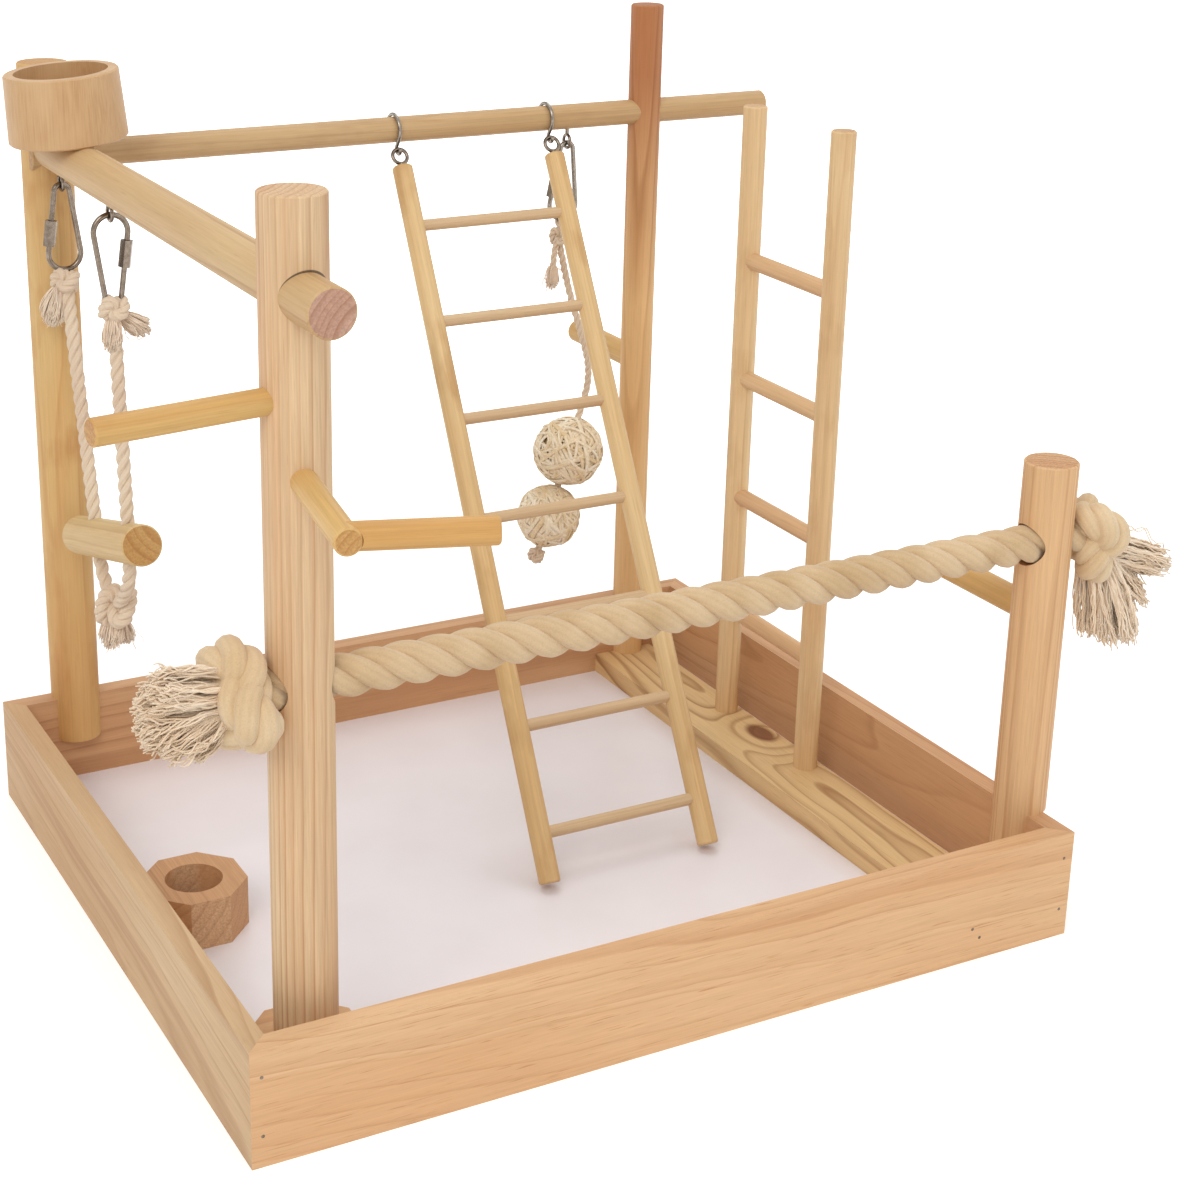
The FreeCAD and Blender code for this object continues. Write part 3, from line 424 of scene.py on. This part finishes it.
def metal(name, bright, dull, rough):
    """Wire or screw steel, patchy between a bright and a dull colour."""
    n = Nodes(name)
    here = n.millimetres()
    patches = n.noise(n.mapped(here, scale=(0.35, 0.35, 0.35)), 1, 3, 0.6)
    specks = n.noise(n.mapped(here, scale=(3, 3, 3)), 1, 2)
    colour = n.mix(n.span(patches, 0.35, 0.65), bright, dull)
    n.put(n.shader.inputs["Base Color"], colour)
    n.shader.inputs["Metallic"].default_value = 1.0
    n.put(n.shader.inputs["Roughness"], n.span(patches, 0.3, 0.7, rough, rough + 0.08))
    n.bump(specks, 0.08, 0.00003)
    return n.material


zinc = metal("zinc_wire", srgb(150, 142, 132), srgb(128, 120, 110), 0.2)
link_steel = metal("link_steel", srgb(132, 120, 108), srgb(112, 100, 88), 0.2)
screw_steel = metal("screw_steel", srgb(150, 138, 124), srgb(104, 90, 76), 0.4)
for node in ("ladder_hooks", "toy_link", "toy_sleeve"):
    dress(node, zinc)
for node in ("ladder_eyes", "perch_eyes", "swing_link_front", "swing_link_back",
             "swing_sleeve_front", "swing_sleeve_back"):
    dress(node, link_steel)
for node in ("tray_brads", "post_screws", "base_screws", "perch_screws"):
    dress(node, screw_steel)


# ---- mesh building ----

class Maker:
    """Collects tubes and strips, and turns them into one mesh object."""

    def __init__(self, name):
        self.name = name
        self.points = []
        self.faces = []
        self.uv = []
        self.count = 0

    def grid(self, rings, closed=False, along=None):
        """Skin over rings of points, an array of rings by sides by 3, with capped ends.

        along is each ring's place along the form, and closed joins the last ring to the first.
        """
        rows, sides, _ = rings.shape
        base = self.count
        self.points.append(rings.reshape(-1, 3))
        self.count += rows * sides
        along = np.linspace(0, 1, rows) if along is None else along
        last = rows if closed else rows - 1
        for row in range(last):
            after = (row + 1) % rows
            v0 = along[row]
            v1 = along[row + 1] if row + 1 < rows else along[row] + (along[1] - along[0])
            for side in range(sides):
                beside = (side + 1) % sides
                self.faces.append((base + row * sides + side, base + row * sides + beside,
                                   base + after * sides + beside, base + after * sides + side))
                u0 = side / sides
                u1 = (side + 1) / sides
                self.uv += [(u0, v0), (u1, v0), (u1, v1), (u0, v1)]
        if not closed:
            self.faces.append(tuple(base + side for side in reversed(range(sides))))
            self.faces.append(tuple(base + (rows - 1) * sides + side for side in range(sides)))
            self.uv += [(0.0, 0.0)] * (2 * sides)

    def tube(self, path, radius, sides=8, closed=False):
        """Round tube along a path of points; radius is one number or one for each point."""
        path = np.asarray(path, float)
        normals, binormals = carried_frames(path, closed)
        radius = np.broadcast_to(np.asarray(radius, float), (len(path),))
        angles = np.arange(sides) / sides * 2 * math.pi
        spokes = np.cos(angles)[None, :, None] * normals[:, None, :] \
            + np.sin(angles)[None, :, None] * binormals[:, None, :]
        rings = path[:, None, :] + radius[:, None, None] * spokes
        steps = np.linalg.norm(np.diff(path, axis=0), axis=1)
        along = np.concatenate([[0], np.cumsum(steps)])
        self.grid(rings, closed, along)

    def make(self, material):
        mesh = bpy.data.meshes.new(self.name)
        points = np.concatenate(self.points)
        mesh.from_pydata(points.tolist(), [], self.faces)
        layer = mesh.uv_layers.new(name="along")
        layer.data.foreach_set("uv", np.asarray(self.uv, np.float32).ravel())
        mesh.polygons.foreach_set("use_smooth", [True] * len(mesh.polygons))
        mesh.materials.append(material)
        thing = bpy.data.objects.new(self.name, mesh)
        bpy.context.collection.objects.link(thing)
        return thing


def carried_frames(path, closed=False):
    """Normals and binormals along a path, turned as little as possible from one to the next."""
    after = np.roll(path, -1, axis=0)
    before = np.roll(path, 1, axis=0)
    if not closed:
        after[-1] = path[-1]
        before[0] = path[0]
    tangents = after - before
    tangents /= np.linalg.norm(tangents, axis=1)[:, None]
    start = np.array((0.0, 0.0, 1.0)) if abs(tangents[0][2]) < 0.9 else np.array((1.0, 0.0, 0.0))
    normal = start - tangents[0] * (start @ tangents[0])
    normals = []
    for tangent in tangents:
        normal = normal - tangent * (normal @ tangent)
        normal = normal / np.linalg.norm(normal)
        normals.append(normal)
    normals = np.array(normals)
    binormals = np.cross(tangents, normals)
    if closed:
        slip = math.atan2(normals[-1] @ binormals[0], normals[-1] @ normals[0])
        turn = np.linspace(0, -slip, len(path))
        cos, sin = np.cos(turn)[:, None], np.sin(turn)[:, None]
        normals, binormals = cos * normals + sin * binormals, cos * binormals - sin * normals
    return normals, binormals


def smooth_route(points, spacing):
    """Points along the smooth line of a route, evenly spaced."""
    curve = bpy.data.curves.new("route", "CURVE")
    curve.dimensions = "3D"
    spline = curve.splines.new("NURBS")
    spline.points.add(len(points) - 1)
    for target, point in zip(spline.points, points):
        target.co = (*point, 1)
    spline.order_u = 3
    spline.use_endpoint_u = True
    spline.resolution_u = 32
    thing = bpy.data.objects.new("route", curve)
    line = bpy.data.meshes.new_from_object(thing)
    path = np.array([vertex.co for vertex in line.vertices])
    bpy.data.objects.remove(thing)
    bpy.data.curves.remove(curve)
    bpy.data.meshes.remove(line)
    return evened(path, spacing)


def evened(path, spacing):
    """The same line in points of about one spacing."""
    steps = np.linalg.norm(np.diff(path, axis=0), axis=1)
    along = np.concatenate([[0], np.cumsum(steps)])
    count = max(3, int(round(along[-1] / spacing)) + 1)
    places = np.linspace(0, along[-1], count)
    return np.stack([np.interp(places, along, path[:, axis]) for axis in range(3)], axis=1)


STRANDS = 3


def lay_strands(maker, path, diameter, pitch, closed=False, sides=12, fill=1.08):
    """Twist strands round a path: a laid rope. fill swells the strands until they meet."""
    path = np.asarray(path, float)
    normals, binormals = carried_frames(path, closed)
    steps = np.linalg.norm(np.diff(path, axis=0), axis=1)
    along = np.concatenate([[0], np.cumsum(steps)])
    if closed:
        whole = along[-1] + np.linalg.norm(path[0] - path[-1])
        pitch = whole / max(1, round(whole / pitch))
    strand = diameter / 2 / (1 + 1 / math.sin(math.pi / STRANDS)) * fill
    offset = diameter / 2 - strand
    for number in range(STRANDS):
        angle = 2 * math.pi * (number / STRANDS + along / pitch)
        centres = path + (offset * np.cos(angle))[:, None] * normals \
            + (offset * np.sin(angle))[:, None] * binormals
        maker.tube(centres, strand, sides, closed)


# ---- cotton ----

def cotton(name, light, dark, warm, yarns, strand_yarn, coarse=1.0):
    """Spun cotton. Where yarns is above zero, that many yarns twist round each strand, in
    turns of strand_yarn millimetres, and otherwise each thread has a colour of its own."""
    n = Nodes(name)
    here = n.millimetres()
    slow = n.noise(n.mapped(here, scale=(0.035, 0.035, 0.035)), 1, 3)
    fuzz = n.noise(n.mapped(here, (5, 2, 9), scale=(1.6 * coarse,) * 3), 1, 4, 0.7)
    height = n.math("MULTIPLY", fuzz, 0.5)
    colour = n.mix(n.span(slow, 0.38, 0.66), light, warm)
    # Painted shade and light: darker where the fuzz relief dips and lighter where it rises
    shade = n.span(fuzz, 0.3, 0.7, 0.93, 1.05)
    if not yarns:
        own = n.own_number()
        colour = n.mix(n.span(own, 0.55, 1.0, 0, 0.55), colour, dark)
        pale = (*(0.93 * part for part in light[:3]), 1)
        colour = n.mix(n.span(own, 0.0, 0.12, 0.6, 0), colour, pale)
    if yarns:
        u, v, _ = n.parts(n.coordinates("UV"))
        turn = n.math("ADD", n.math("MULTIPLY", u, yarns),
                      n.math("MULTIPLY", v, -1000.0 / strand_yarn))
        wave = n.math("SINE", n.math("MULTIPLY", turn, 2 * math.pi))
        ridge = n.span(wave, -1, 1, 0, 1)
        height = n.math("ADD", height, n.math("MULTIPLY", ridge, 0.5))
        # Painted shade in the grooves between the yarns
        shade = n.math("MULTIPLY", shade, n.span(ridge, 0, 0.6, 0.95, 1.0))
    colour = n.vector("SCALE", colour, scale=shade)
    # Painted shade: the dark colour fills the deepest dips of the fuzz relief
    colour = n.mix(n.span(fuzz, 0.2, 0.42, 0.35, 0), colour, dark)
    n.put(n.shader.inputs["Base Color"], colour)
    n.shader.inputs["Roughness"].default_value = 0.92
    n.shader.inputs["Specular IOR Level"].default_value = 0.15
    n.shader.inputs["Sheen Weight"].default_value = 0.25
    n.shader.inputs["Sheen Roughness"].default_value = 0.6
    n.bump(height, 0.6, 0.0005)
    return n.material


thick_cotton = cotton("thick_cotton", srgb(216, 188, 149), srgb(160, 126, 86),
                      srgb(200, 169, 126), 9, 22, 0.8)
knot_cotton = cotton("knot_cotton", srgb(226, 202, 166), srgb(172, 140, 100),
                     srgb(214, 184, 142), 9, 22, 0.8)
yarn_cotton = cotton("yarn_cotton", srgb(248, 230, 206), srgb(222, 192, 158),
                     srgb(240, 216, 186), 0, 1)
thin_cotton = cotton("thin_cotton", srgb(228, 208, 182), srgb(180, 152, 122),
                     srgb(220, 196, 170), 5, 7, 1.6)
thin_yarn = cotton("thin_yarn", srgb(246, 228, 206), srgb(214, 188, 158),
                   srgb(236, 212, 188), 0, 1, 1.6)


KNOT_POINTS = 150


def overhand(centre, axis, across, rope, thickness, start=0.0):
    """Closed line of a tight overhand knot: three crossing turns about axis, in metres."""
    t = np.linspace(0, 2 * math.pi, KNOT_POINTS, endpoint=False)
    x = np.sin(t) + 2 * np.sin(2 * t)
    y = np.cos(t) - 2 * np.cos(2 * t)
    z = -np.sin(3 * t)
    size = (across - rope) / 2 / 3.0
    turn = Vector((0, 0, 1)).rotation_difference(Vector(axis).normalized()).to_matrix()
    spin = Matrix.Rotation(start, 3, "Z")
    line = np.stack([x * size, y * size, z * (thickness - rope) / 2], axis=1)
    line = line @ np.array(turn @ spin).T
    return line + np.array(centre)


def threads(maker, rng, start, end, width, bundles, each, spread, across=None, thin=1.0, bow=3.0,
            sag=3.0, wave=0.6, round_tip=0.1, cut=0.12, loose=1.1, count=18):
    """Loose threads of a frayed end, in bundles that part on their way; sizes in millimetres.

    spread is the bunch's radius at start and end. across and thin flatten it to a fan. bow
    bends the bundles, sag lets the tips hang, and wave and loose part the threads. round_tip
    and cut, shares of the length, shorten the outer and single threads.
    """
    start, end = np.array(at(*start)) * 1000, np.array(at(*end)) * 1000
    axis = end - start
    reach = np.linalg.norm(axis)
    axis = axis / reach
    side = np.cross(axis, (0.3, 0.9, 0.2)) if across is None else np.array(across, float)
    side = side - axis * (side @ axis)
    side /= np.linalg.norm(side)
    other = np.cross(axis, side) * thin
    t = np.linspace(0, 1, count)[:, None]
    for _ in range(bundles):
        angle, share = rng.uniform(0, 2 * math.pi), math.sqrt(rng.uniform(0, 1))
        outward = side * math.cos(angle) * share + other * math.sin(angle) * share
        first = start + outward * spread[0]
        last = end + outward * spread[1] - axis * reach * round_tip * share ** 2
        middle = (first + last) / 2 + outward * spread[1] * 0.35 \
            + (side * rng.gauss(0, 1) + other * rng.gauss(0, 1)) * bow
        for _ in range(each):
            stop = last - axis * reach * rng.uniform(0, cut)
            stop = stop + (side * rng.gauss(0, 1) + other * rng.gauss(0, 1)) * loose
            line = (1 - t) ** 2 * first + 2 * t * (1 - t) * middle + t ** 2 * stop
            line = line + (side * rng.gauss(0, 0.5) + other * rng.gauss(0, 0.5))
            line[:, 2] -= sag * rng.uniform(0.3, 1.2) * t[:, 0] ** 2
            pace = rng.uniform(9, 24) * reach / 40
            phase, lag = rng.uniform(0, 6.28), rng.uniform(0, 6.28)
            curl = side * np.sin(t * pace + phase) + other * np.cos(t * pace * 0.8 + lag)
            line = line + curl * wave * (0.3 + t) * rng.uniform(0.4, 1.3)
            size = width * rng.uniform(0.75, 1.25)
            maker.tube(line / 1000, size / 2000 * (1 - 0.3 * t[:, 0]), 4)


def at_each(points):
    """at() of each point of a list."""
    return [np.array(at(*point)) for point in points]


# Rope perch: 20 mm laid cotton rope through both front posts
ROPE_START, ROPE_MIDDLE, ROPE_STOP = (12, 38, 211), (248.5, 38, 211), (485, 38, 211)
rope_line = smooth_route(at_each([ROPE_START, ROPE_MIDDLE, ROPE_STOP]), 0.0016)
maker = Maker("rope_perch_strands")
lay_strands(maker, rope_line, 0.0205, 0.0495, sides=14, fill=1.14)
rope = maker.make(thick_cotton)
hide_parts("rope_perch")
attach(rope, "stand")


def rope_knot(name, centre, axis, across, thickness, rope_width, pitch, tilt, start, material):
    """Overhand knot of laid rope about axis; sizes in millimetres, start the turn about axis."""
    maker = Maker(name)
    line = overhand(at(*centre), Vector(axis) + Vector(tilt), across / 1000, rope_width / 1000,
                    thickness / 1000, start)
    lay_strands(maker, line, rope_width / 1000, pitch / 1000, closed=True, sides=12, fill=1.12)
    return maker.make(material)


# Threads in one bundle, and the few stray threads of a bunch
BUNDLE = 6
STRAYS = {"bundles": 3, "each": 2, "bow": 6.0, "wave": 1.8}


def frayed(name, locks, width, seed, material, **habits):
    """Frayed end of a rope: one bunch of threads for each lock (start, end, spread, bundles).

    Each bunch has a few thinner stray threads, which stand off from it.
    """
    rng = random.Random(seed)
    maker = Maker(name)
    for start, end, spread, bundles in locks:
        threads(maker, rng, start, end, width, bundles, BUNDLE, spread, **habits)
        threads(maker, rng, start, end, width * 0.8, spread=(spread[0], spread[1] * 1.4), **STRAYS)
    return maker.make(material)


LEFT_KNOT = (13, 38, 209)
left_knot = rope_knot("rope_knot_left", LEFT_KNOT, (1, 0, 0), 58, 28, 22, 34,
                      (0, 0.1, 0.12), 0.4, knot_cotton)
left_locks = [((8, 38, 215), (-29, 34, 226), (8, 8), 34),
              ((7, 38, 212), (-34, 38, 216), (8, 9), 38),
              ((7, 38, 209), (-33, 41, 203), (8, 9), 38),
              ((6, 38, 207), (-25, 36, 195), (8, 9), 36),
              ((6, 38, 205), (-12, 39, 190), (7, 8), 30)]
left_fray = frayed("rope_fray_left", left_locks, 1.15, 3, yarn_cotton, wave=0.9)
RIGHT_KNOT = (485, 38, 209)
right_knot = rope_knot("rope_knot_right", RIGHT_KNOT, (1, 0, 0), 52, 28, 20, 32,
                       (0, -0.1, 0.16), 1.3, knot_cotton)
right_locks = [((489, 38, 203), (541, 36, 186), (6, 7), 30),
               ((490, 38, 201), (530, 42, 162), (7, 8), 34),
               ((490, 38, 200), (514, 36, 145), (8, 11), 50),
               ((489, 38, 198), (497, 40, 150), (7, 8), 34)]
right_fray = frayed("rope_fray_right", right_locks, 1.15, 5, yarn_cotton, wave=0.6, loose=0.8,
                    bow=2.0)
for piece, node in ((left_knot, "rope_end_left"), (left_fray, "rope_end_left"),
                    (right_knot, "rope_end_right"), (right_fray, "rope_end_right")):
    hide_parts(node)
    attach(piece, "stand")

# Swing ropes: 7.5 mm laid cotton, from a knot at each link down through the bar
SWING_X = 42


def swing_rope(name, node, route):
    """One of the swing's ropes, along a route of y and z in the swing's plane."""
    line = smooth_route(at_each([(SWING_X, y, z) for y, z in route]), 0.0008)
    maker = Maker(name)
    lay_strands(maker, line, 0.0077, 0.0225, sides=10, fill=1.12)
    rope = maker.make(thin_cotton)
    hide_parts(node)
    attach(rope, "swing")


# The tails of the swing and the toy are soft fans, which open towards the front view
SCREEN_RIGHT = (0.89, -0.46, 0.0)
FAN = {"across": SCREEN_RIGHT, "thin": 0.5, "bow": 0.8, "sag": 0.8, "wave": 0.2, "round_tip": 0.35,
       "cut": 0.06, "loose": 0.6, "count": 10}
rear_knot = rope_knot("swing_knot_rear", (42, 370, 315.5), (0.2, 0, 1), 18, 14, 7.2, 14,
                      (0.1, 0.1, 0), 0.2, thin_cotton)
rear_tail = frayed("swing_tail_rear", [((38, 370, 312), (32, 369, 291), (2.6, 7.5), 44)], 0.6, 11,
                   thin_yarn, **FAN)
front_knot = rope_knot("swing_knot_front", (42, 286, 320), (0.2, 0, 1), 18, 14, 7.2, 14,
                       (-0.1, 0.1, 0), 0.9, thin_cotton)
front_tail = frayed("swing_tail_front", [((46, 286, 316), (61, 285, 305), (2.4, 6.5), 40),
                                         ((41, 284, 316), (39, 282, 297), (2.4, 4.6), 30)], 0.6, 12,
                    thin_yarn, **FAN)
joint_knot = rope_knot("swing_joint_rope", (42, 303, 149), (0, 0, 1), 25, 24, 8.4, 16,
                       (0.15, 0.2, 0), 0.5, thin_cotton)
joint_tail = frayed("swing_joint_tail", [((41, 303, 144), (35, 300, 126), (3.2, 6.4), 40),
                                         ((43, 303, 144), (48, 306, 124), (3.2, 7.0), 44)],
                    0.65, 13, thin_yarn, **FAN)
for piece, node in ((rear_knot, "swing_knots"), (rear_tail, "swing_knots"),
                    (front_knot, "swing_knots"), (front_tail, "swing_knots"),
                    (joint_knot, "swing_joint_knot"), (joint_tail, "swing_joint_knot")):
    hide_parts(node)
    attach(piece, "swing")
swing_rope("swing_strands_rear", "swing_rope_back",
           [(370, 315.5), (338.96, 197), (334.5, 180), (330, 163), (320, 153.5), (308, 150.3)])
swing_rope("swing_strands_front", "swing_rope_front",
           [(286, 320), (278.2, 213), (277, 196), (276.5, 179), (284, 163), (299, 151.9)])

# Chew toy: cord with a loop and tie at the link, two balls of woven vine, and an end knot
HITCH = (359.82, 389, 318.18)
TOY_ROUTE = [(358.6, 389, 304), (365, 389, 275), (375, 389, 246), (383.99, 389, 216.1),
             (374.7, 389, 186.5), (347.16, 389, 98.93)]
toy_line = smooth_route(at_each(TOY_ROUTE), 0.0008)
maker = Maker("toy_cord_strands")
lay_strands(maker, toy_line, 0.0046, 0.015, sides=8, fill=1.1)
toy_cord = maker.make(thin_cotton)
maker = Maker("toy_cord_tie")
loop_angle = np.linspace(0, 2 * math.pi, 48, endpoint=False)
hitch = np.array(at(*HITCH))
loop = hitch + 0.0045 * np.stack([0 * loop_angle, np.cos(loop_angle), np.sin(loop_angle)], axis=1)
lay_strands(maker, loop, 0.0045, 0.012, closed=True, sides=8)
tie_line = overhand(hitch - np.array((0, 0, 0.011)), (0.1, 0.2, 1), 0.015, 0.0045, 0.012)
lay_strands(maker, tie_line, 0.0047, 0.013, closed=True, sides=8)
end_line = overhand(np.array(at(*TOY_ROUTE[-1])), (-0.3, 0, -0.954), 0.0125, 0.0042, 0.010)
lay_strands(maker, end_line, 0.0043, 0.012, closed=True, sides=8)
tail_line = smooth_route(at_each([(357, 388, 307), (354.5, 388, 299), (354, 388, 286)]), 0.0008)
lay_strands(maker, tail_line, 0.0042, 0.014, sides=8)
toy_tie = maker.make(thin_cotton)
toy_tail = frayed("toy_cord_tail", [((354, 388, 289), (353.6, 388, 274), (1.8, 3.6), 26)], 0.6, 21,
                  thin_yarn, **FAN)
for piece in (toy_cord, toy_tie, toy_tail):
    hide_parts("toy_cord")
    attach(piece, "toy_string")


# ---- vine balls ----


def vine():
    """Dry split vine, with lines along each strip and a colour of its own for each."""
    n = Nodes("vine_strip")
    here = n.millimetres()
    slow = n.noise(n.mapped(here, scale=(0.09, 0.09, 0.09)), 1, 3)
    fine = n.noise(n.mapped(here, (4, 4, 4), scale=(0.8, 0.8, 0.8)), 1, 4, 0.7)
    u, v, _ = n.parts(n.coordinates("UV"))
    lines = n.noise(n.join(n.math("MULTIPLY", u, 9), n.math("MULTIPLY", v, 60), 0.0), 1, 3)
    colour = n.mix(n.span(slow, 0.38, 0.62), srgb(250, 238, 216), srgb(240, 221, 190))
    colour = n.mix(n.span(n.own_number(), 0.35, 1.0, 0, 0.75), colour, srgb(226, 196, 148))
    colour = n.mix(n.span(fine, 0.5, 0.72, 0, 0.5), colour, srgb(206, 180, 132))
    colour = n.vector("SCALE", colour, scale=n.span(lines, 0.3, 0.7, 0.86, 1.06))
    n.put(n.shader.inputs["Base Color"], colour)
    n.shader.inputs["Roughness"].default_value = 0.75
    n.shader.inputs["Specular IOR Level"].default_value = 0.25
    n.bump(n.math("ADD", lines, fine), 0.4, 0.0003)
    return n.material


def vine_painted_shade():
    """The layers within a ball, seen between its strips, in a darker colour that is painted shade.
    """
    n = Nodes("vine_inside_painted_shade")
    here = n.millimetres()
    fine = n.noise(n.mapped(here, scale=(0.5, 0.5, 0.5)), 1, 4, 0.7)
    colour = n.mix(n.span(fine, 0.35, 0.65), srgb(204, 174, 126), srgb(160, 128, 82))
    n.put(n.shader.inputs["Base Color"], colour)
    n.shader.inputs["Roughness"].default_value = 0.9
    return n.material


strip_material = vine()
painted_shade_material = vine_painted_shade()


def strip(maker, centre, radius, normal, offset, width, thickness, rng, sides=6, count=56):
    """Flat vine strip right round a ball, rising over some strips and dipping under others."""
    normal = np.array(Vector(normal).normalized())
    first = np.cross(normal, (0.31, 0.52, 0.8))
    first /= np.linalg.norm(first)
    second = np.cross(normal, first)
    t = np.linspace(0, 2 * math.pi, count, endpoint=False)
    phase, waves = rng.uniform(0, 6.28), rng.choice((3, 4, 5))
    height = radius * (1 - 0.026 * (1 + np.sin(waves * t + phase)))
    sway = offset + 0.05 * radius * np.sin(2 * t + rng.uniform(0, 6.28))
    flat = np.sqrt(np.maximum(1e-9, 1 - (sway / radius) ** 2))
    outward = (np.cos(t) * flat)[:, None] * first + (np.sin(t) * flat)[:, None] * second \
        + (sway / radius)[:, None] * normal
    outward /= np.linalg.norm(outward, axis=1)[:, None]
    line = np.array(centre) + outward * height[:, None]
    ahead = np.roll(line, -1, axis=0) - np.roll(line, 1, axis=0)
    ahead /= np.linalg.norm(ahead, axis=1)[:, None]
    beside = np.cross(ahead, outward)
    angles = np.arange(sides) / sides * 2 * math.pi
    wide = width / 2 * (1 + 0.18 * np.sin(3 * t + phase))
    reach = (np.cos(angles)[None, :] * wide[:, None])[:, :, None]
    rings = line[:, None, :] + reach * beside[:, None, :] \
        + (np.sin(angles) * thickness / 2)[None, :, None] * outward[:, None, :]
    maker.grid(rings, True, np.linspace(0, 1, count))


BALL_STRIPS = 104
STRIP_WIDTHS = (0.0011, 0.0014, 0.0018, 0.0024, 0.0032)
STRIP_THICKNESS = 0.0009


def vine_ball(name, node, body, centre, radius, seed):
    """Ball of vine strips in layers over an inside painted darker as shade; centre and radius in
    millimetres.
    """
    rng = random.Random(seed)
    centre = at(*centre)
    radius /= 1000
    maker = Maker(name)
    for _ in range(BALL_STRIPS):
        normal = (rng.gauss(0, 1), rng.gauss(0, 1), rng.gauss(0, 1))
        width = rng.choice(STRIP_WIDTHS)
        offset = rng.uniform(-0.62, 0.62) * radius
        layer = radius * (1 - 0.018 * rng.uniform(0, 4.4)) - 0.0005
        strip(maker, centre, layer, normal, offset, width, STRIP_THICKNESS, rng)
    ball = maker.make(strip_material)
    maker = Maker(name + "_inside")
    rows = np.linspace(0.02, math.pi - 0.02, 22)
    sides = np.arange(32) / 32 * 2 * math.pi
    rings = np.array([[(math.sin(a) * math.cos(b), math.sin(a) * math.sin(b), math.cos(a))
                       for b in sides] for a in rows]) * radius * 0.84 + np.array(centre)
    maker.grid(rings)
    inside = maker.make(painted_shade_material)
    for piece in (ball, inside):
        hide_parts(node)
        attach(piece, body)


vine_ball("vine_upper_strips", "vine_ball_upper", "upper_ball", (368.4, 389, 166.5), 22.8, 31)
vine_ball("vine_lower_strips", "vine_ball_lower", "lower_ball", (355.2, 389, 124.5), 20.8, 32)


# ---- shading of the solids ----

# Smooth shading, with crisp edges where two faces meet at more than this angle
CRISP_FROM = math.radians(35)

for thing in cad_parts.values():
    mesh = thing.data
    mesh.polygons.foreach_set("use_smooth", [True] * len(mesh.polygons))
    mesh.set_sharp_from_angle(angle=CRISP_FROM)


# ---- floor, light ----

SEEN_BY = ("Is Camera Ray", "Is Glossy Ray", "Is Transmission Ray")
WORLD_LIGHT = 0.62
FLOOR_REACH = 30.0


def seen(tree):
    """One for a ray that looks at a surface, nought for a ray that carries light to others."""
    light = tree.nodes.new("ShaderNodeLightPath")
    total = None
    for name in SEEN_BY:
        if total is None:
            total = light.outputs[name]
            continue
        node = tree.nodes.new("ShaderNodeMath")
        node.operation = "MAXIMUM"
        tree.links.new(total, node.inputs[0])
        tree.links.new(light.outputs[name], node.inputs[1])
        total = node.outputs[0]
    return total


def stage_floor():
    """Flat white floor, which keeps the shadow near the stand and fades to plain white beyond."""
    maker = Maker("floor")
    corners = [(-1, -1), (1, -1), (1, 1), (-1, 1)]
    maker.points.append(np.array([(x * FLOOR_REACH, y * FLOOR_REACH, 0) for x, y in corners]))
    maker.faces.append((0, 1, 2, 3))
    maker.uv += corners
    n = Nodes("floor_paint")
    distance = n.vector("LENGTH", n.coordinates())
    mottle = n.noise(n.coordinates(), 1.3, 2)
    colour = n.mix(n.span(mottle, 0.3, 0.7), srgb(250, 250, 250), srgb(247, 247, 247))
    n.put(n.shader.inputs["Base Color"], colour)
    n.shader.inputs["Roughness"].default_value = 0.9
    n.shader.inputs["Specular IOR Level"].default_value = 0.1
    n.shader.inputs["Emission Color"].default_value = (1, 1, 1, 1)
    n.put(n.shader.inputs["Emission Strength"],
          n.math("MULTIPLY", seen(n.tree), n.span(distance, 0.4, 1.3, 0.3, 1.0)))
    maker.make(n.material)


def studio_world():
    """Even light all round, which shows as white."""
    world = bpy.data.worlds.new("studio")
    bpy.context.scene.world = world
    world.use_nodes = True
    tree = world.node_tree
    background = tree.nodes["Background"]
    background.inputs["Color"].default_value = (1, 1, 1, 1)
    strength = tree.nodes.new("ShaderNodeMapRange")
    strength.inputs["To Min"].default_value = WORLD_LIGHT
    tree.links.new(seen(tree), strength.inputs["Value"])
    tree.links.new(strength.outputs[0], background.inputs["Strength"])


stage_floor()
studio_world()


def lamp(name, place, target, size, power, colour=(1, 1, 1)):
    """Square lamp at place that looks at target; size in metres and power in watts."""
    data = bpy.data.lights.new(name, "AREA")
    data.shape = "SQUARE"
    data.size = size
    data.energy = power
    data.color = colour
    thing = bpy.data.objects.new(name, data)
    bpy.context.collection.objects.link(thing)
    thing.location = place
    thing.rotation_mode = "QUATERNION"
    thing.rotation_quaternion = (Vector(target) - Vector(place)).to_track_quat("-Z", "Y")


lamp("key", (-1.6, -1.5, 2.1), (0, 0, 0.2), 1.6, 32, (1, 0.985, 0.965))
lamp("fill", (1.9, -1.4, 1.3), (0, 0, 0.2), 1.8, 11)
lamp("top", (0.3, 0.7, 2.3), (0, 0, 0.1), 1.6, 12)
